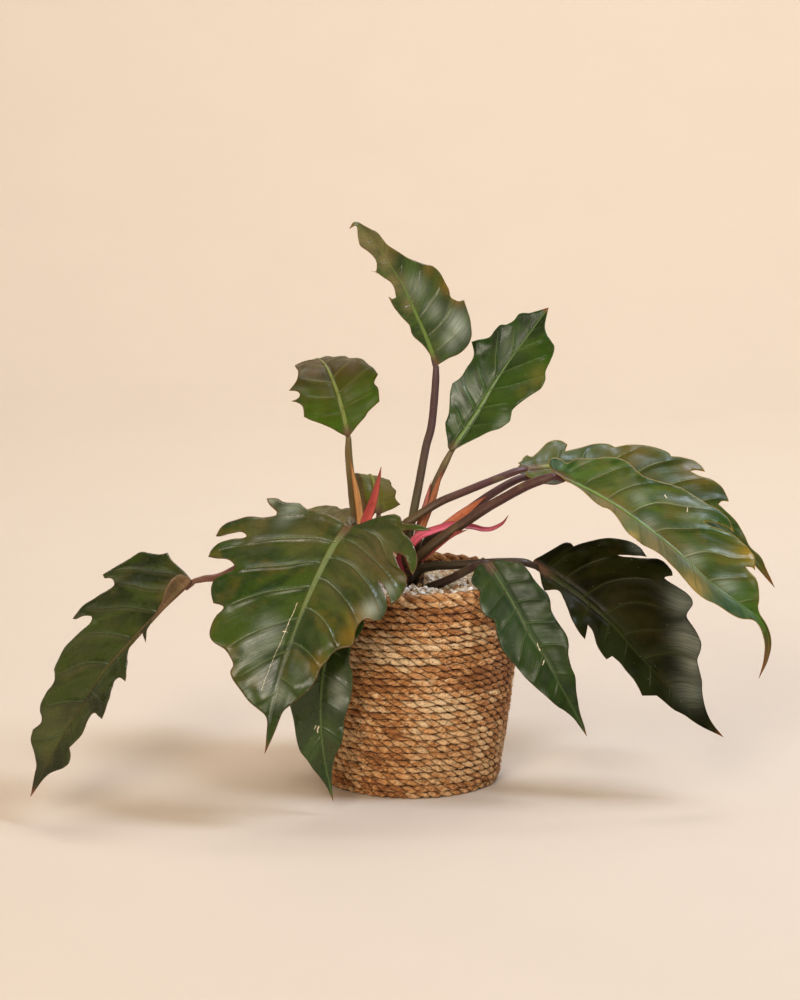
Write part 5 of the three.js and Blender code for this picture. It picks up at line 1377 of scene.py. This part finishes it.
def make_fibres():
    """Loose ends of fibre that stand off the rope."""
    rng = np.random.default_rng(21)
    points, faces, tones = [], [], []
    sides = 3
    joints = 6
    for k in range(2600):
        z = rng.uniform(4, 196)
        a = rng.uniform(0, 2 * math.pi)
        length = rng.uniform(4, 14)
        slant = rng.normal(-0.38, 0.3)
        lift = rng.uniform(0.0, 1.1)
        t = np.linspace(0, 1, joints)
        around = a + t * length * math.cos(slant) / radius_at(z)
        height = np.clip(z + t * length * math.sin(slant), 2, 199.5)
        out = radius_at(height) - 0.3 + lift * t ** 2 + 0.25 * np.sin(t * 5 + k)
        line = np.stack([out * np.cos(around), out * np.sin(around), height], 1)
        thick = rng.uniform(0.14, 0.42) * (1 - 0.75 * t)
        pts = tube(line, thick, sides)
        faces += (np.array(grid_faces(joints, sides, capped=False)) + len(points) * joints * sides).tolist()
        points.append(pts)
        tones.append(np.full(len(pts), rng.uniform()))
    s = Surface("loose_fibre")
    stops = [(0.0, "#3c2010"), (0.4, "#8a5a30"), (0.7, "#d09a60"), (1.0, "#fbdcae")]
    colour = s.ramp(s.value("light"), stops)
    patchy = s.mix(s.rise(s.noise(300, 2), 0.4, 0.7, 0.0, 0.5), colour, rgb("#7a4c24"))
    skin = s.finish(patchy, 0.7)
    piece("rope_fibres", np.vstack(points), faces, [skin], {"light": np.concatenate(tones)},
          node="basket")


# Granules

def granule_skin():
    """Pale porous stone, from white to tan, with pits that are painted darker as their shade."""
    s = Surface("granule_stone")
    tone = s.value("tone")
    speck = s.noise(420, 4, 0.65)
    colour = s.ramp(tone, [(0.0, "#8a6444"), (0.16, "#b8946c"), (0.34, "#d8c6a6"), (0.6, "#ece2d0"),
                           (1.0, "#f6f2ea")])
    colour = s.mix(s.rise(speck, 0.45, 0.75, 0.0, 0.55), colour, s.mix(0.5, colour, rgb("#7a5a3c")))
    # painted shade: small dark spots in the pits
    pits = s.cells(900)
    colour = s.mix(s.rise(pits, 0.12, 0.3, 0.45, 0.0), colour, rgb("#6a4c32"))
    height = s.plus(speck, s.rise(pits, 0.1, 0.4))
    return s.finish(colour, 0.88, s.bump(height, 0.0009, 0.8), Specular_IOR_Level=0.3)


def rounded_chip():
    """Points and triangles of a unit ball made from a divided icosahedron."""
    g = (1 + 5 ** 0.5) / 2
    pts = [(-1, g, 0), (1, g, 0), (-1, -g, 0), (1, -g, 0), (0, -1, g), (0, 1, g), (0, -1, -g), (0, 1, -g),
           (g, 0, -1), (g, 0, 1), (-g, 0, -1), (-g, 0, 1)]
    faces = [(0, 11, 5), (0, 5, 1), (0, 1, 7), (0, 7, 10), (0, 10, 11), (1, 5, 9), (5, 11, 4), (11, 10, 2),
             (10, 7, 6), (7, 1, 8), (3, 9, 4), (3, 4, 2), (3, 2, 6), (3, 6, 8), (3, 8, 9), (4, 9, 5),
             (2, 4, 11), (6, 2, 10), (8, 6, 7), (9, 8, 1)]
    pts = [list(unit(np.array(p, float))) for p in pts]
    middle = {}

    def half(a, b):
        key = (min(a, b), max(a, b))
        if key not in middle:
            middle[key] = len(pts)
            pts.append(list(unit(np.array(pts[a]) + np.array(pts[b]))))
        return middle[key]

    out = []
    for a, b, c in faces:
        d, e, f = half(a, b), half(b, c), half(c, a)
        out += [(a, d, f), (d, b, e), (f, e, c), (d, e, f)]
    return np.array(pts), np.array(out)


def make_granules():
    """Chips of four sizes, scattered over the bed, on each other and round the stems."""
    rng = np.random.default_rng(12)
    wanted = 1150
    most_tries = 60000
    sizes = [1.8, 2.6, 3.5, 4.8]
    shares = [0.3, 0.27, 0.28, 0.15]
    ball, tris = rounded_chip()
    spots = []
    reach = radius_at(190) - 6.5
    stems = [(spec["at"], max(r for _, r in spec["profile"])) for spec in CROWNS.values()]
    tries = 0
    while len(spots) < wanted and tries < most_tries:
        tries += 1
        size = rng.choice(sizes, p=shares)
        r = reach * math.sqrt(rng.uniform(0, 1))
        a = rng.uniform(0, 2 * math.pi)
        x, y = r * math.cos(a), r * math.sin(a)
        if r + size * 0.9 > reach:
            continue
        if any(math.hypot(x - c[0], y - c[1]) < wide + size * 0.4 for c, wide in stems):
            continue
        # behind the stems the bed is lower and its chips are small
        behind = y > 25
        if behind:
            size = min(size, 2.6)
        layer = DRESSING_TOP + rng.uniform(0.4, 1.2 if behind else 3.0)
        near = [s for s in spots if math.hypot(s[0] - x, s[1] - y) < (s[3] + size) * 0.78]
        if near:
            layer = max(s[2] + 0.55 * (s[3] + size) for s in near)
            if layer > DRESSING_TOP + (2.2 if behind else 6.5):
                continue
        spots.append((x, y, layer, size))
    points, faces, tone = [], [], []
    # each chip is a ball with flats cut off, turned any way
    for k, (x, y, z, size) in enumerate(spots):
        chip = ball * rng.uniform(0.72, 1.2, 3)
        for _ in range(7):
            way = unit(rng.normal(size=3))
            cut = rng.uniform(0.5, 0.8)
            over = np.maximum(chip @ way - cut, 0)
            chip = chip - over[:, None] * way
        spin = np.linalg.qr(rng.normal(size=(3, 3)))[0]
        if np.linalg.det(spin) < 0:
            spin[:, 0] *= -1
        chip = (chip + rng.normal(0, 0.035, chip.shape)) @ spin.T
        points.append(chip * size + [x, y, z])
        faces.append(tris + k * len(ball))
        tone.append(np.full(len(ball), rng.beta(1.2, 0.9)))
    piece("granule_chips", np.vstack(points), np.vstack(faces), [granule_skin()],
          {"tone": np.concatenate(tone)}, flat=True)


def dress_node(name, skin):
    """A procedural finish on a CAD node that stays as it is."""
    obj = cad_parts[name]
    if not obj.material_slots:
        obj.data.materials.append(skin)
    for held in obj.material_slots:
        held.material = skin


# Making everything

for leaf, leaf_spec in LEAVES.items():
    make_leaf(leaf, leaf_spec, LOOKS[leaf])
for stem, stem_spec in PETIOLES.items():
    make_stalk(stem, stem_spec)
for skin_name, skin_shape in SHEATHS.items():
    make_sheath(skin_name, skin_shape)
bark = crown_skin()
for crown, crown_spec in CROWNS.items():
    make_crown(crown, crown_spec, bark)
make_basket()
make_fibres()
make_granules()

plastic = Surface("pot_plastic")
grain = plastic.noise(900, 3, 0.6)
scuff = plastic.noise(40, 3)
shade = plastic.mix(plastic.rise(scuff, 0.4, 0.75, 0.0, 0.4), rgb("#1d1b19"), rgb("#3a3631"))
dress_node("nursery_pot", plastic.finish(shade, plastic.rise(scuff, 0.3, 0.7, 0.45, 0.62),
                                         plastic.bump(grain, 0.00015)))
mould = Surface("potting_mix")
crumb = mould.noise(260, 4, 0.65)
peat = mould.ramp(crumb, [(0.3, "#1a0f08"), (0.5, "#3d2717"), (0.7, "#6b4a2c")])
dress_node("soil", mould.finish(peat, 0.95, mould.bump(crumb, 0.003)))
# pale stones, darker towards the edge of each cell: painted shade in the gaps between them
bed = Surface("granule_bed")
patch = bed.cells(260)
stones_and_gap_shade = bed.ramp(patch, [(0.0, "#e2d6c0"), (0.45, "#c4ab86"), (0.8, "#7a5a3c")])
dress_node("top_dressing", bed.finish(stones_and_gap_shade, 0.9, bed.bump(patch, -0.003)))

# Floor and backdrop in one round sheet, in metres, that curves up far from the plant
FLAT_REACH = 2.3
CURVE = 2.2
WALL_TOP = 5.0
profile = [(r, 0.0) for r in (0.02, 0.5, 1.0, 2.0)]
for a in np.linspace(0, math.pi / 2, 40):
    profile.append((FLAT_REACH + CURVE * math.sin(a), CURVE - CURVE * math.cos(a)))
profile += [(FLAT_REACH + CURVE, z) for z in (3.0, WALL_TOP)]
around = 120
verts = [(r * math.cos(a), r * math.sin(a), z) for r, z in profile for a in turns(around)]
quads = [q[::-1] for q in grid_faces(len(profile), around, capped=False)]
quads.append(list(range(around)))
floor_mesh = bpy.data.meshes.new("studio_sheet")
floor_mesh.from_pydata(verts, [], quads)
floor_mesh.polygons.foreach_set("use_smooth", [True] * len(quads))
floor = bpy.data.objects.new("studio_sheet", floor_mesh)
bpy.context.scene.collection.objects.link(floor)
paper = Surface("studio_paper")
tint = paper.mix(paper.rise(paper.noise(6, 2), 0.3, 0.7), rgb("#cbc0b2"), rgb("#ccc1b3"))
floor_mesh.materials.append(paper.finish(tint, 0.75, Specular_IOR_Level=0.2))


def area_light(name, place, aim, size, power, colour):
    """A soft round lamp that faces the aim."""
    data = bpy.data.lights.new(name, "AREA")
    data.shape = "DISK"
    data.size = size
    data.energy = power
    data.color = rgb(colour)
    lamp = bpy.data.objects.new(name, data)
    lamp.location = place
    lamp.rotation_euler = (Vector(aim) - Vector(place)).to_track_quat("-Z", "Y").to_euler()
    bpy.context.scene.collection.objects.link(lamp)


PLANT = (0, 0, 0.25)
area_light("key", (1.5, -0.35, 2.6), PLANT, 1.0, 66, "#dfecff")
area_light("front", (-0.9, -3.0, 1.8), PLANT, 1.3, 76, "#fff1e0")
area_light("fill", (-2.4, -1.0, 1.9), PLANT, 2.8, 19, "#ffd9ae")
area_light("top", (-0.1, 0.8, 2.5), (0, 0.1, 0.2), 1.4, 12, "#fffdf8")
area_light("backdrop", (0.5, 2.0, 3.5), (0.2, 4.5, 0.8), 2.6, 113, "#fff9f1")
world = bpy.data.worlds.new("studio")
world.use_nodes = True
sky = world.node_tree.nodes["Background"]
sky.inputs["Color"].default_value = [*rgb("#ffc88c"), 1]
sky.inputs["Strength"].default_value = 0.15
bpy.context.scene.world = world
bpy.context.scene.view_settings.view_transform = "Standard"

# The camera stands where the photo was taken from, looking slightly down
lens = bpy.data.cameras.new("camera")
lens.lens = 120
lens.sensor_width = 36
camera = bpy.data.objects.new("camera", lens)
camera.location = (-0.0105, -3.1116, 0.847)
camera.rotation_euler = (math.radians(79.5), 0, 0)
bpy.context.scene.collection.objects.link(camera)
bpy.context.scene.camera = camera

bpy.context.view_layer.update()
